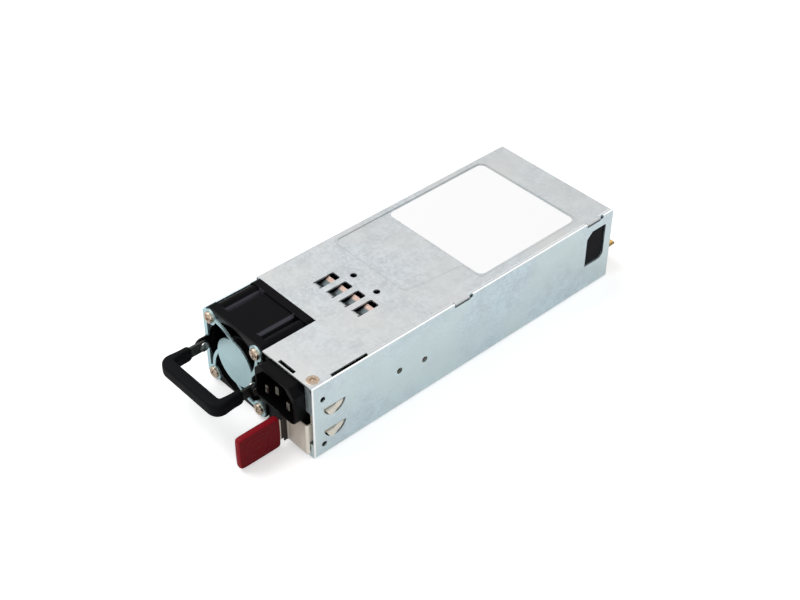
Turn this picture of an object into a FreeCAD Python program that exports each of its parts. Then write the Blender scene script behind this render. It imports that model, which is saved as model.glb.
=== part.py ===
import FreeCAD, Part
import math
import os

from FreeCAD import Vector

# Hot swap server power supply, in millimetres.
# The model is laid out with x across, y from the front face to the rear and z up from the base.
# Every shape is moved at the end so that the origin is the centre of the case's bottom face.

# Case
CASE_WIDTH = 73.5
CASE_LENGTH = 185.0
CASE_HEIGHT = 40.0
SHEET = 0.8
BEND = 0.6
COVER_SIDE_GAP = 0.2
COVER_FLANGE = 4.2
REAR_FLANGE = 4.0
SEAM = 0.3
CORNER_SHARE = 0.85
COVER_LIP = 2.0

# Sides of the small round parts that stay out of sight
HIDDEN_SIDES = 8
CAN_SIDES = 12
BULK_SIDES = 24

# Hooks of the cover in the right wall
HOOK_DEPTHS = (80.5, 166.5)
HOOK_LENGTH = 8.6
HOOK_NOTCH = 11.0
HOOK_DROP = 2.0

# Cover details
LOUVRE_COUNT = 4
LOUVRE_PITCH = 8.55
LOUVRE_LEFT = -16.1
LOUVRE_START = 43.9
LOUVRE_WIDTH = 5.3
LOUVRE_LENGTH = 12.0
TONGUE_WIDTH = 4.2
TONGUE_REACH = 9.6
TONGUE_DROP = 2.6
TONGUE_RISE = 1.7
TONGUE_DIP = 4.3
TONGUE_BEND = 1.6
LOCATING_HOLE_RADIUS = 1.6
LOCATING_HOLE_DEPTH = 61.2
LOCATING_HOLE_X = (-8.1, 7.3)
RECESS_STEP = 0.35
RECESS_LEFT_INSET = 3.75
RECESS_FRONT = 70.7
RECESS_NARROW_RIGHT = 15.3
RECESS_WIDEN = 102.3
RECESS_TAPER = 3.7
RECESS_RIGHT_INSET = 5.95
RECESS_REAR = 166.1
RECESS_CORNER = 4.0
LABEL_MARGIN = 1.1
LABEL_THICKNESS = 0.15
LABEL_CORNER = 3.0
FINGER_SLOT_X = 13.7
FINGER_SLOT_DEPTH = 0.6
FINGER_SLOT_LENGTH = 10.0
FINGER_SLOT_WIDTH = 1.8
EDGE_SLOT_START = 11.6
EDGE_SLOT_LENGTH = 19.8
EDGE_SLOT_WIDTH = 1.6
COVER_SCREW_INSET = 4.75
COVER_SCREW_DEPTH = 4.2
COVER_SCREW_HEAD = 2.95
COVER_SCREW_RADIUS = 1.5
COVER_SCREW_LENGTH = 4.5
SCREW_HEAD_FALL = 1.45
SCREW_HOLE_PLAY = 0.05
LUG_LENGTH = 8.0
LUG_WIDTH = 8.2

# Fan
FAN_SIZE = 40.0
FAN_DEPTH = 28.0
FAN_WALL_PLAY = 0.1
FAN_FLANGE = 4.2
FAN_CORNER = 2.6
FAN_DUCT_RADIUS = 18.9
FAN_MOUTH = 0.7
FAN_BODY_STEP = 0.5
FAN_FLAT_HALF = 9.7
FAN_BOSS_RADIUS = 3.7
FAN_HOLE_SPACING = 32.0
FAN_HOLE_RADIUS = 1.75
FAN_BAY_PLAY = 0.2
HUB_RADIUS = 10.6
HUB_WALL = 0.9
HUB_START = 3.2
HUB_LENGTH = 16.5
BLADE_COUNT = 7
BLADE_TIP_PLAY = 0.5
BLADE_THICKNESS = 0.9
BLADE_LENGTH = 13.5
BLADE_SWEEP = 34.0
BLADE_STATIONS = 5
BLADE_CAMBER = 0.9
MAGNET_THICKNESS = 1.4
FAN_SHAFT_RADIUS = 1.0
SHAFT_PLAY = 0.04
BEARING_RADIUS = 2.6
BEARING_LENGTH = 2.3
BEARING_TUBE_WALL = 0.8
STATOR_RADIUS = 7.3
STATOR_POLES = 4
STATOR_LENGTH = 6.0
POLE_HALF = 1.2
SHOE_HALF = 2.8
SHOE = 1.0
COIL = 1.0
COIL_HEAD = 0.9
STRUT_COUNT = 4
STRUT_WIDTH = 2.4
STRUT_DEPTH = 3.0
MOTOR_PLATE_RADIUS = 10.2
MOTOR_PLATE = 1.6

# Fan guard, screws and handle bracket
GUARD_SHEET = 0.8
GUARD_DISC_RADIUS = 12.0
GUARD_LUG_RADIUS = 3.9
GUARD_SPOKE_WIDTH = 1.7
GUARD_SPOKE_BULGE = 2.6
GUARD_STRIP_WIDTH = 2.3
FAN_SCREW_RADIUS = 1.6
FAN_SCREW_HEAD = 2.8
FAN_SCREW_HEAD_HEIGHT = 1.7
EAR_HEIGHT = 6.6

# Handle
HANDLE_PIVOT_DEPTH = -4.2
HANDLE_PIVOT_Z = 20.0
STRAP_THICKNESS = 1.2
STRAP_HEIGHT = 5.4
STRAP_REACH = 22.6
STRAP_BEND = 2.4
ARM_PLAY = 0.3
GRIP_HEIGHT = 7.0
GRIP_ARM = 3.4
GRIP_BAR = 6.0
GRIP_ARM_LENGTH = 15.5
GRIP_CORNER = 5.0
GRIP_EDGE = 1.3
RIVET_RADIUS = 1.4
RIVET_PLAY = 0.05
RIVET_HEAD_RADIUS = 2.3
RIVET_HEAD = 0.6

# Mains inlet
INLET_INSET = 18.25
INLET_Z = 28.7
INLET_WIDTH = 26.4
INLET_HEIGHT = 19.6
INLET_PROUD = 5.6
INLET_CHAMFER = 3.6
INLET_EDGE = 0.8
INLET_LOW_CORNER = 3.4
INLET_BODY_WIDTH = 25.2
INLET_BODY_DEPTH = 19.0
INLET_BODY_CHAMFER = 5.4
INLET_PLATE_INSET = 6.15
INLET_PLATE_DEPTH = 2.2
SOCKET_WIDTH = 24.0
SOCKET_HEIGHT = 16.6
SOCKET_CHAMFER = 5.2
SOCKET_DEPTH = 15.5
PIN_WIDTH = 2.0
PIN_HEIGHT = 4.0
PIN_RECESS = 1.0
PIN_SIDE = 7.0
EARTH_PIN_RISE = 1.0
LINE_PIN_FALL = 3.0
PIN_TAIL = 5.0

# Latch
LATCH_HINGE_DEPTH = 43.0
LATCH_SHEET = 0.6
LATCH_INSET = 3.0
LATCH_JOG = 7.0
LATCH_LOW = 8.5
LATCH_HIGH = 24.4
LATCH_CROSS_DEPTH = -1.7
LATCH_CROSS_LOW = 2.0
LATCH_CROSS_HIGH = 18.5
LATCH_BEND = 0.7
LATCH_ANCHOR_LENGTH = 25.0
ANCHOR_CORNER = 2.0
TAB_INSET = 14.65
TAB_THICKNESS = 3.6
TAB_START = -28.0
TAB_LENGTH = 22.0
TAB_LOW = 1.0
TAB_HIGH = 18.2
TAB_CORNER = 1.2
TAB_EDGE = 0.6
CATCH_START = 6.4
CATCH_LENGTH = 10.2
CATCH_SAG = 3.9
CATCH_TOPS = (12.4, 24.9)
CATCH_PROUD = 1.5
CATCH_PLAY = 0.8
CATCH_RAMP_START = 0.15
CATCH_RAMP_END = 0.65
SIDE_HOLE_RADIUS = 1.55
SIDE_HOLES = ((48.0, 21.3), (62.9, 18.9))
FRONT_HOLES = ((5.3, 31.6), (5.3, 6.0))
FRONT_HOLE_RADIUS = 1.35
FLANGE_TOP_LOW = 25.0
FLANGE_FOOT_HIGH = 7.6
FLANGE_FOOT_WIDTH = 7.75
FLANGE_HOLE_RADIUS = 1.7
FLANGE_HOLE_INSET = 3.3
FLANGE_NOTCH_WIDTH = 1.0
FLANGE_NOTCH_DROP = 3.0

# Side window
WINDOW_START = 167.2
WINDOW_LENGTH = 12.8
WINDOW_LOW = 14.6
WINDOW_HIGH = 34.1
WINDOW_CHAMFER = 3.4
FILM = 0.5
FILM_MARGIN = 4.0

# Rear panel and its vents
VENT_RADIUS = 2.7
VENT_PITCH = 6.4
CARD_SLOT_MARGIN = 2.0
REAR_TAB = 9.0

# Boards
BOARD = 1.6
BOARD_Z = 3.4
BOARD_START = 30.4
BOARD_END = 172.0
BOARD_INSET = 2.35
BOARD_NOTCH = 3.0
STANDOFF_INSET = 4.5
STANDOFF_END = 5.0
STANDOFF_MIDDLE_SHIFT = 16.0
STANDOFF_RADIUS = 2.6
BOARD_SCREW_RADIUS = 1.4
BOARD_SCREW_HEAD = 2.5
BOARD_SCREW_HEAD_HEIGHT = 1.5
CARD_Z = 11.2
CARD_START = 146.0
CARD_PROUD = 10.3
CARD_INSET = 4.85
SHOULDER_INSET = 2.75
CONTACT_PITCH = 2.54
CONTACT_WIDTH = 1.7
CONTACT_LENGTH = 8.6
CONTACT_FOIL = 0.1

# Electronics
WIRE_PLAY = 0.05
CHOKE_INSET = 15.75
CHOKE_DEPTH = 42.0
CHOKE_RADIUS = 7.4
CHOKE_CORE = 3.0
CHOKE_WIRE = 0.9
CHOKE_TURNS = 7
XCAP_X = 0.5
XCAP_DEPTH = 41.5
XCAP_WIDTH = 9.0
XCAP_LENGTH = 17.6
XCAP_HEIGHT = 16.0
YCAP_RADIUS = 4.0
YCAP_THICKNESS = 3.0
YCAP_DEPTHS = (37.0, 46.0)
YCAP_X = 7.5
YCAP_LEAD = 0.35
YCAP_STAND = 1.5
FUSE_INSET = 8.75
FUSE_DEPTH = 47.0
FUSE_RADIUS = 3.0
FUSE_LENGTH = 17.0
FUSE_CLIP = 0.6
FUSE_CLIP_LENGTH = 4.0
FUSE_CLIP_HALF = 2.0
FUSE_STAND = 1.2
RELAY_INSET = 21.25
RELAY_DEPTH = 41.0
RELAY_WIDTH = 12.6
RELAY_LENGTH = 18.0
RELAY_HEIGHT = 14.0
BRIDGE_DEPTH = 58.0
BRIDGE_INSET = 16.75
BRIDGE_WIDTH = 22.0
BRIDGE_THICKNESS = 4.4
BRIDGE_HEIGHT = 15.0
BRIDGE_STAND = 3.0
BRIDGE_BEVEL = 3.0
BRIDGE_LEADS = 4
BRIDGE_LEAD_PITCH = 5.0
BRIDGE_LEAD_HALF = 0.6
BRIDGE_LEAD_THICKNESS = 0.8
PFC_INSET = 15.45
PFC_DEPTH = 74.0
PFC_RADIUS = 8.2
PFC_CORE = 3.6
PFC_WIRE = 1.2
PFC_TURNS = 14
BULK_INSET = 17.75
BULK_START = 66.0
BULK_RADIUS = 14.2
BULK_LENGTH = 44.0
SADDLE_HALF = 8.0
SADDLE_HEIGHT = 4.0
SADDLE_LENGTH = 4.0
SADDLE_END = 8.0
SADDLE_STAND = 0.3
SINK_X = 0.5
SINK_START = 66.0
SINK_LENGTH = 74.0
SINK_PLATE = 2.6
SINK_HEIGHT = 27.0
SINK_FIN = 1.0
SINK_FIN_REACH = 3.6
SINK_FIN_PITCH = 4.4
SWITCH_WIDTH = 10.2
SWITCH_HEIGHT = 11.0
SWITCH_THICKNESS = 4.4
SWITCH_COUNT = 4
SWITCH_PITCH = 15.0
SWITCH_START = 8.0
SWITCH_STAND = 2.5
LEAD_PITCH = 2.54
LEAD_WIDTH = 0.8
LEAD_OFFSET = 1.6
TRANSFORMER_INSET = 18.75
TRANSFORMER_DEPTH = 128.0
TRANSFORMER_WIDTH = 28.0
TRANSFORMER_LENGTH = 26.0
TRANSFORMER_HEIGHT = 26.5
TRANSFORMER_PLATE = 5.0
TRANSFORMER_LEG = 5.4
BOBBIN_FLANGE = 1.0
BOBBIN_STEP = 0.8
BOBBIN_PLAY = 0.02
RESONANT_INSET = 16.95
RESONANT_DEPTH = 112.0
RESONANT_SIZE = 18.0
RESONANT_HEIGHT = 18.0
RESONANT_WALL = 3.5
RESONANT_SETBACK = 1.0
OUTPUT_CAP_RADIUS = 4.0
OUTPUT_CAP_HEIGHT = 15.0
OUTPUT_CAP_COUNT = 6
OUTPUT_CAP_PITCH = 9.4
OUTPUT_CAP_DEPTH = 166.0
OUTPUT_SINK_HALF = 26.0
OUTPUT_SINK_BASE = 2.2
OUTPUT_SINK_HEIGHT = 17.0
OUTPUT_SINK_FIN = 1.2
OUTPUT_SINK_PITCH = 4.0
OUTPUT_SINK_GAP = 2.0
BUSBAR_WIDTH = 12.0
BUSBAR_THICKNESS = 1.5
BUSBAR_FOOT = 6.0
BUSBAR_X = (-22.0, 22.0)
BUSBAR_DEPTH = 152.0
CONTROL_INSET = 5.75
CONTROL_START = 88.0
CONTROL_LENGTH = 48.0
CONTROL_HEIGHT = 26.0
CHIP_SIZE = 7.0
CHIP_HEIGHT = 1.2
CHIP_HEIGHTS = (8.0, 15.0, 9.0)
CHIP_START = 6.0
CHIP_PITCH = 15.0

# Values worked out from those above
HALF_WIDTH = CASE_WIDTH / 2
INNER = HALF_WIDTH - SHEET
COVER_HALF = INNER - COVER_SIDE_GAP
COVER_UNDER = CASE_HEIGHT - SHEET
LEFT_WALL_TOP = CASE_HEIGHT - COVER_LIP
COVER_SCREW_X = HALF_WIDTH - COVER_SCREW_INSET
RECESS_LEFT = RECESS_LEFT_INSET - HALF_WIDTH
RECESS_RIGHT = HALF_WIDTH - RECESS_RIGHT_INSET
INLET_X = HALF_WIDTH - INLET_INSET
INLET_PLATE_RIGHT = HALF_WIDTH - INLET_PLATE_INSET
LATCH_X = HALF_WIDTH - LATCH_INSET
TAB_RIGHT = HALF_WIDTH - TAB_INSET
FLANGE_FOOT_LEFT = HALF_WIDTH - FLANGE_FOOT_WIDTH
FLANGE_TOP_LEFT = INLET_X + INLET_WIDTH / 2 + SEAM
FAN_X = -INNER + FAN_WALL_PLAY + FAN_SIZE / 2
FAN_Z = FAN_SIZE / 2
FAN_FRONT = GUARD_SHEET
FAN_REAR = FAN_FRONT + FAN_DEPTH
FAN_BAY_RIGHT = FAN_X + FAN_SIZE / 2 + FAN_BAY_PLAY
FAN_BAY_REAR = FAN_REAR + FAN_BAY_PLAY
BOARD_TOP = BOARD_Z + BOARD
BOARD_HALF = HALF_WIDTH - BOARD_INSET
CARD_HALF = HALF_WIDTH - CARD_INSET
CARD_SHOULDER = HALF_WIDTH - SHOULDER_INSET
CONTACT_COUNT = int(2 * CARD_HALF / CONTACT_PITCH)
CHOKE_X = HALF_WIDTH - CHOKE_INSET
PFC_X = HALF_WIDTH - PFC_INSET
RESONANT_X = HALF_WIDTH - RESONANT_INSET
CONTROL_X = HALF_WIDTH - CONTROL_INSET
FUSE_X = FUSE_INSET - HALF_WIDTH
RELAY_X = RELAY_INSET - HALF_WIDTH
BRIDGE_X = BRIDGE_INSET - HALF_WIDTH
BULK_X = BULK_INSET - HALF_WIDTH
TRANSFORMER_X = TRANSFORMER_INSET - HALF_WIDTH
CARD_TOP = CARD_Z + BOARD
CARD_END = CASE_LENGTH + CARD_PROUD
REAR_INNER = CASE_LENGTH - SHEET
ORIGIN_SHIFT = Vector(0, -CASE_LENGTH / 2, 0)

UP = Vector(0, 0, 1)
BACK = Vector(0, 1, 0)
RIGHT = Vector(1, 0, 0)


# Shape helpers

def block(x0, x1, y0, y1, z0, z1):
    """Rectangular block between two corners."""
    return Part.makeBox(x1 - x0, y1 - y0, z1 - z0, Vector(x0, y0, z0))


def rod(start, direction, radius, length):
    """Round bar from a point along a direction."""
    return Part.makeCylinder(radius, length, start, direction)


def prism(start, direction, radius, length, sides):
    """Bar with a regular section of several sides; the radius reaches to its corners."""
    corners = []
    for index in range(sides):
        angle = 2 * math.pi * (index + 0.5) / sides
        corners.append(Vector(radius * math.cos(angle), radius * math.sin(angle), 0))
    bar = Part.Face(Part.makePolygon(corners + corners[:1])).extrude(UP * length)
    bar.Placement = FreeCAD.Placement(start, FreeCAD.Rotation(UP, direction))
    return bar


def tube(start, direction, outer, inner, length):
    """Round bar with a bore right through it."""
    return rod(start, direction, outer, length).cut(rod(start, direction, inner, length))


def rounded_wire(points, radii):
    """Closed wire through the points, with an arc of its own radius at each corner."""
    count = len(points)
    firsts = []
    lasts = []
    arcs = []
    for index in range(count):
        corner = points[index]
        radius = radii[index]
        first = corner
        last = corner
        arc = None
        if radius > 0:
            before = (points[index - 1] - corner).normalize()
            after = (points[(index + 1) % count] - corner).normalize()
            half = before.getAngle(after) / 2
            middle_line = (before + after).normalize()
            first = corner + before * (radius / math.tan(half))
            last = corner + after * (radius / math.tan(half))
            middle = corner + middle_line * (radius / math.sin(half) - radius)
            arc = Part.Arc(first, middle, last).toShape()
        firsts.append(first)
        lasts.append(last)
        arcs.append(arc)
    edges = []
    for index in range(count):
        start = lasts[index - 1]
        if start.distanceToPoint(firsts[index]) > 1e-6:
            edges.append(Part.LineSegment(start, firsts[index]).toShape())
        if arcs[index] is not None:
            edges.append(arcs[index])
    return Part.Wire(edges)


def rounded_plate(points, radii, direction):
    """Flat plate with the given outline, thickened along a direction."""
    return Part.Face(rounded_wire(points, radii)).extrude(direction)


def even_plate(points, radius, direction):
    """Flat plate whose corners all have one radius."""
    return rounded_plate(points, [radius] * len(points), direction)


def rectangle_across(x0, x1, z0, z1, depth):
    """Corners of an upright rectangle that faces the front."""
    return [Vector(x0, depth, z0), Vector(x1, depth, z0), Vector(x1, depth, z1), Vector(x0, depth, z1)]


def rectangle_flat(x0, x1, y0, y1, height):
    """Corners of a level rectangle."""
    return [Vector(x0, y0, height), Vector(x1, y0, height), Vector(x1, y1, height), Vector(x0, y1, height)]


def rectangle_side(x, y0, y1, z0, z1):
    """Corners of an upright rectangle that faces the side."""
    return [Vector(x, y0, z0), Vector(x, y1, z0), Vector(x, y1, z1), Vector(x, y0, z1)]


def folded_outline(path, thickness, bend):
    """Outline of folded sheet: the path is its outer face and the metal lies to its left.

    Returns the outline's points, as pairs, and the radius of each corner.
    """
    near_points = []
    far_points = []
    near_radii = []
    far_radii = []
    last = len(path) - 1
    for index, point in enumerate(path):
        before = index if index == 0 else index - 1
        after = last if index == last else index + 1
        into = unit_step(path[before], point) if index > 0 else unit_step(point, path[after])
        out = unit_step(point, path[after]) if index < last else into
        share = thickness / (1 + into[0] * out[0] + into[1] * out[1])
        near_points.append(point)
        far_points.append((point[0] - (into[1] + out[1]) * share, point[1] + (into[0] + out[0]) * share))
        turn = into[0] * out[1] - into[1] * out[0]
        bent = abs(turn) > 1e-9
        near_radii.append(0 if not bent else bend + thickness if turn > 0 else bend)
        far_radii.append(0 if not bent else bend if turn > 0 else bend + thickness)
    return near_points + far_points[::-1], near_radii + far_radii[::-1]


def unit_step(start, end):
    """Direction from one pair to another, as a pair of length one."""
    across = end[0] - start[0]
    along = end[1] - start[1]
    length = math.hypot(across, along)
    return across / length, along / length


def folded_sheet_along(path, thickness, bend, y0, y1):
    """Folded sheet with its section across the case, drawn out from front to rear."""
    points, radii = folded_outline(path, thickness, bend)
    corners = [Vector(x, y0, z) for x, z in points]
    return rounded_plate(corners, radii, BACK * (y1 - y0))


def folded_sheet_upright(path, thickness, bend, z0, z1):
    """Folded sheet with its section in plan, drawn up from one height to another."""
    points, radii = folded_outline(path, thickness, bend)
    corners = [Vector(x, y, z0) for x, y in points]
    return rounded_plate(corners, radii, UP * (z1 - z0))


def folded_sheet_across(path, thickness, bend, x0, x1):
    """Folded sheet with its section seen from the side, drawn out across the case."""
    points, radii = folded_outline(path, thickness, bend)
    corners = [Vector(x0, y, z) for y, z in points]
    return rounded_plate(corners, radii, RIGHT * (x1 - x0))


def fuse_all(shapes):
    """One solid from pieces that meet."""
    joined = shapes[0].multiFuse(shapes[1:]) if len(shapes) > 1 else shapes[0]
    return joined.removeSplitter()


def cut_all(shape, tools):
    """A shape with every tool taken out of it."""
    return shape.cut(Part.makeCompound(tools)) if tools else shape


def edges_where(shape, test):
    """Edges of a shape whose middle and direction pass a test."""
    found = []
    for edge in shape.Edges:
        middle = edge.CenterOfMass
        ends = [vertex.Point for vertex in edge.Vertexes]
        direction = (ends[-1] - ends[0]) if len(ends) > 1 else Vector(0, 0, 0)
        if test(middle, direction):
            found.append(edge)
    return found


def fan_corners():
    """The four screw places of the fan, as pairs across and up."""
    step = FAN_HOLE_SPACING / 2
    return [(FAN_X + sx * step, FAN_Z + sz * step) for sx in (-1, 1) for sz in (-1, 1)]


# Case

def catch_shape(top, x0, x1, play):
    """Half moon standing on the side wall, flat edge up, between two planes across the case."""
    radius = (CATCH_LENGTH ** 2 / 4 + CATCH_SAG ** 2) / (2 * CATCH_SAG) + play
    middle = CATCH_START + CATCH_LENGTH / 2
    centre_z = top + radius - play - CATCH_SAG
    disc = rod(Vector(x0, middle, centre_z), RIGHT, radius, x1 - x0)
    below = block(x0, x1, middle - radius, middle + radius, top - CASE_HEIGHT, top + play)
    return disc.common(below)


def side_window(x0, x1, margin):
    """The window near the rear of the right wall, chamfered at its upper front corner."""
    y0 = WINDOW_START - margin
    y1 = WINDOW_START + WINDOW_LENGTH + margin
    z0 = WINDOW_LOW - margin
    z1 = WINDOW_HIGH + margin
    chamfer = WINDOW_CHAMFER
    corners = [Vector(x0, y0, z0), Vector(x0, y1, z0), Vector(x0, y1, z1),
               Vector(x0, y0 + chamfer, z1), Vector(x0, y0, z1 - chamfer)]
    radii = [0.8, chamfer, 0.8, 0, 0]
    return rounded_plate(corners, radii, RIGHT * (x1 - x0))


def chassis_tray():
    """Folded tray: base, side walls, the flanges of the right front and of the rear."""
    path = [(-HALF_WIDTH, LEFT_WALL_TOP), (-HALF_WIDTH, 0), (HALF_WIDTH, 0), (HALF_WIDTH, CASE_HEIGHT)]
    shell = folded_sheet_along(path, SHEET, BEND, 0, CASE_LENGTH)
    seam = INNER + SHEET / 2
    flange_edge = HALF_WIDTH - REAR_FLANGE
    pieces = [shell]
    pieces.append(block(FLANGE_TOP_LEFT, HALF_WIDTH, 0, SHEET, FLANGE_TOP_LOW, COVER_UNDER))
    pieces.append(block(FLANGE_FOOT_LEFT, INNER, 0, SHEET, SHEET / 2, FLANGE_FOOT_HIGH))
    pieces.append(block(flange_edge, seam, REAR_INNER, CASE_LENGTH, SHEET / 2, COVER_UNDER))
    pieces.append(block(-seam, -flange_edge, REAR_INNER, CASE_LENGTH, SHEET / 2, LEFT_WALL_TOP))
    pieces.append(block(HALF_WIDTH - LUG_WIDTH, seam, SHEET, LUG_LENGTH, COVER_UNDER - SHEET, COVER_UNDER))
    return cut_all(fuse_all(pieces), tray_cuts())


def tray_cuts():
    """What is taken out of the tray: fan bay, hook notches, catch slots, holes, window and screw seat."""
    beyond = HALF_WIDTH + SHEET
    cuts = [corner_rounding(1, 0), corner_rounding(1, CASE_LENGTH), corner_rounding(-1, CASE_LENGTH)]
    cuts.append(block(-INNER, FAN_BAY_RIGHT, -SHEET, FAN_BAY_REAR, -SHEET, FAN_Z))
    for depth in HOOK_DEPTHS:
        floor = CASE_HEIGHT - HOOK_DROP
        cuts.append(block(COVER_HALF, beyond, depth, depth + HOOK_NOTCH, floor, CASE_HEIGHT + SHEET))
    for top in CATCH_TOPS:
        cuts.append(catch_shape(top, INNER - SHEET, beyond, CATCH_PLAY))
    for depth, height in SIDE_HOLES:
        cuts.append(rod(Vector(INNER - SHEET, depth, height), RIGHT, SIDE_HOLE_RADIUS, 3 * SHEET))
    for depth, height in FRONT_HOLES:
        cuts.append(rod(Vector(INNER - SHEET, depth, height), RIGHT, FRONT_HOLE_RADIUS, 3 * SHEET))
    cuts.append(side_window(INNER - SHEET, beyond, 0))
    foot = Vector(FLANGE_FOOT_LEFT + FLANGE_HOLE_INSET, -SHEET, FLANGE_FOOT_HIGH / 2 + SHEET / 2)
    cuts.append(rod(foot, BACK, FLANGE_HOLE_RADIUS, 3 * SHEET))
    notch_left = INNER - FLANGE_NOTCH_WIDTH
    cuts.append(block(notch_left, INNER, -SHEET, SHEET, COVER_UNDER - FLANGE_NOTCH_DROP, COVER_UNDER))
    hole = Vector(COVER_SCREW_X, COVER_SCREW_DEPTH, COVER_UNDER - 2 * SHEET)
    cuts.append(prism(hole, UP, COVER_SCREW_RADIUS + SCREW_HOLE_PLAY, 2 * SHEET, HIDDEN_SIDES))
    cuts.append(screw_cone())
    return cuts


def corner_rounding(side, depth):
    """What the bend takes off an upright corner of the tray, at one side and one end."""
    radius = SHEET * CORNER_SHARE
    inward = 1 if depth < CASE_LENGTH / 2 else -1
    centre = Vector(side * (HALF_WIDTH - radius), depth + inward * radius, 0)
    x0, x1 = sorted((centre.x, side * (HALF_WIDTH + radius)))
    y0, y1 = sorted((centre.y, depth - inward * radius))
    corner = block(x0, x1, y0, y1, -SHEET, CASE_HEIGHT + SHEET)
    return corner.cut(rod(centre - UP, UP, radius, CASE_HEIGHT + 2))


def screw_cone():
    """The cone under the cover screw's head, from the cover's top face down."""
    base = Vector(COVER_SCREW_X, COVER_SCREW_DEPTH, CASE_HEIGHT - SCREW_HEAD_FALL)
    return Part.makeCone(COVER_SCREW_RADIUS, COVER_SCREW_HEAD, SCREW_HEAD_FALL, base, UP)


def cover_screw():
    """Countersunk screw at the front right."""
    neck = CASE_HEIGHT - SCREW_HEAD_FALL
    base = Vector(COVER_SCREW_X, COVER_SCREW_DEPTH, neck - COVER_SCREW_LENGTH)
    shank = prism(base, UP, COVER_SCREW_RADIUS, COVER_SCREW_LENGTH, HIDDEN_SIDES)
    return fuse_all([shank, screw_cone()])


def recess_outline(height):
    """Corners of the shallow recess in the cover that takes the label."""
    return [Vector(RECESS_LEFT, RECESS_FRONT, height),
            Vector(RECESS_NARROW_RIGHT, RECESS_FRONT, height),
            Vector(RECESS_NARROW_RIGHT + RECESS_TAPER, RECESS_WIDEN, height),
            Vector(RECESS_RIGHT, RECESS_WIDEN, height),
            Vector(RECESS_RIGHT, RECESS_REAR, height),
            Vector(RECESS_LEFT, RECESS_REAR, height)]


def louvre_tongue(left):
    """Tongue that dips from the front edge of a window and rises again towards its rear."""
    top = CASE_HEIGHT
    path = [(LOUVRE_START + TONGUE_REACH, top - TONGUE_DROP + TONGUE_RISE),
            (LOUVRE_START + TONGUE_DIP, top - TONGUE_DROP),
            (LOUVRE_START + SHEET, top),
            (LOUVRE_START - SHEET, top)]
    points, radii = folded_outline(path, SHEET, TONGUE_BEND)
    corners = [Vector(left, y, z) for y, z in points]
    return rounded_plate(corners, radii, RIGHT * TONGUE_WIDTH)


def top_cover():
    """Folded lid with the bay for the fan, the label's recess, tongued windows and the right side's hooks."""
    path = [(COVER_HALF, CASE_HEIGHT - COVER_FLANGE), (COVER_HALF, CASE_HEIGHT),
            (-HALF_WIDTH, CASE_HEIGHT), (-HALF_WIDTH, LEFT_WALL_TOP)]
    cover = folded_sheet_along(path, SHEET, BEND, 0, REAR_INNER - SEAM)
    low_face = recess_outline(COVER_UNDER - RECESS_STEP)
    cover = cover.fuse(even_plate(low_face, RECESS_CORNER, UP * (RECESS_STEP + SHEET / 4)))
    cover = cover.cut(even_plate(recess_outline(CASE_HEIGHT - RECESS_STEP), RECESS_CORNER, UP * SHEET))
    pieces = [cut_all(cover, cover_cuts())]
    for index in range(LOUVRE_COUNT):
        pieces.append(louvre_tongue(LOUVRE_LEFT + index * LOUVRE_PITCH + (LOUVRE_WIDTH - TONGUE_WIDTH) / 5))
    for depth in HOOK_DEPTHS:
        near = depth + SEAM
        far = near + HOOK_LENGTH
        pieces.append(block(COVER_HALF - SHEET - BEND, HALF_WIDTH, near, far, COVER_UNDER, CASE_HEIGHT))
        pieces.append(block(INNER, HALF_WIDTH, near, far, CASE_HEIGHT - HOOK_DROP, CASE_HEIGHT - SHEET / 2))
    return fuse_all(pieces)


def cover_cuts():
    """What is taken out of the cover: fan bay, windows, holes, slots and screw seat."""
    under = COVER_UNDER - SHEET
    above = CASE_HEIGHT + SHEET
    fold = CASE_HEIGHT - 2 * COVER_FLANGE
    cuts = [block(-HALF_WIDTH, FAN_BAY_RIGHT, -SHEET, FAN_BAY_REAR, 0, above)]
    for index in range(LOUVRE_COUNT):
        left = LOUVRE_LEFT + index * LOUVRE_PITCH
        corners = rectangle_flat(left, left + LOUVRE_WIDTH, LOUVRE_START, LOUVRE_START + LOUVRE_LENGTH, under)
        cuts.append(even_plate(corners, SHEET, UP * 3 * SHEET))
    for across in LOCATING_HOLE_X:
        cuts.append(rod(Vector(across, LOCATING_HOLE_DEPTH, under), UP, LOCATING_HOLE_RADIUS, 3 * SHEET))
    slot_right = FINGER_SLOT_X + FINGER_SLOT_LENGTH
    slot_rear = FINGER_SLOT_DEPTH + FINGER_SLOT_WIDTH
    cuts.append(block(FINGER_SLOT_X, slot_right, FINGER_SLOT_DEPTH, slot_rear, under, above))
    edge_end = EDGE_SLOT_START + EDGE_SLOT_LENGTH
    cuts.append(block(COVER_HALF - EDGE_SLOT_WIDTH, INNER, EDGE_SLOT_START, edge_end, fold, above))
    cuts.append(block(COVER_SCREW_X, INNER, -SHEET, LUG_LENGTH + SEAM, fold, COVER_UNDER))
    cuts.append(screw_cone())
    return cuts


def rating_label():
    """Blank plain label that lies in the cover's recess."""
    left = RECESS_LEFT + LABEL_MARGIN
    right = RECESS_RIGHT - LABEL_MARGIN
    front = RECESS_WIDEN + LABEL_MARGIN
    rear = RECESS_REAR - LABEL_MARGIN
    corners = rectangle_flat(left, right, front, rear, CASE_HEIGHT - RECESS_STEP)
    return even_plate(corners, LABEL_CORNER, UP * LABEL_THICKNESS)


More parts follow.
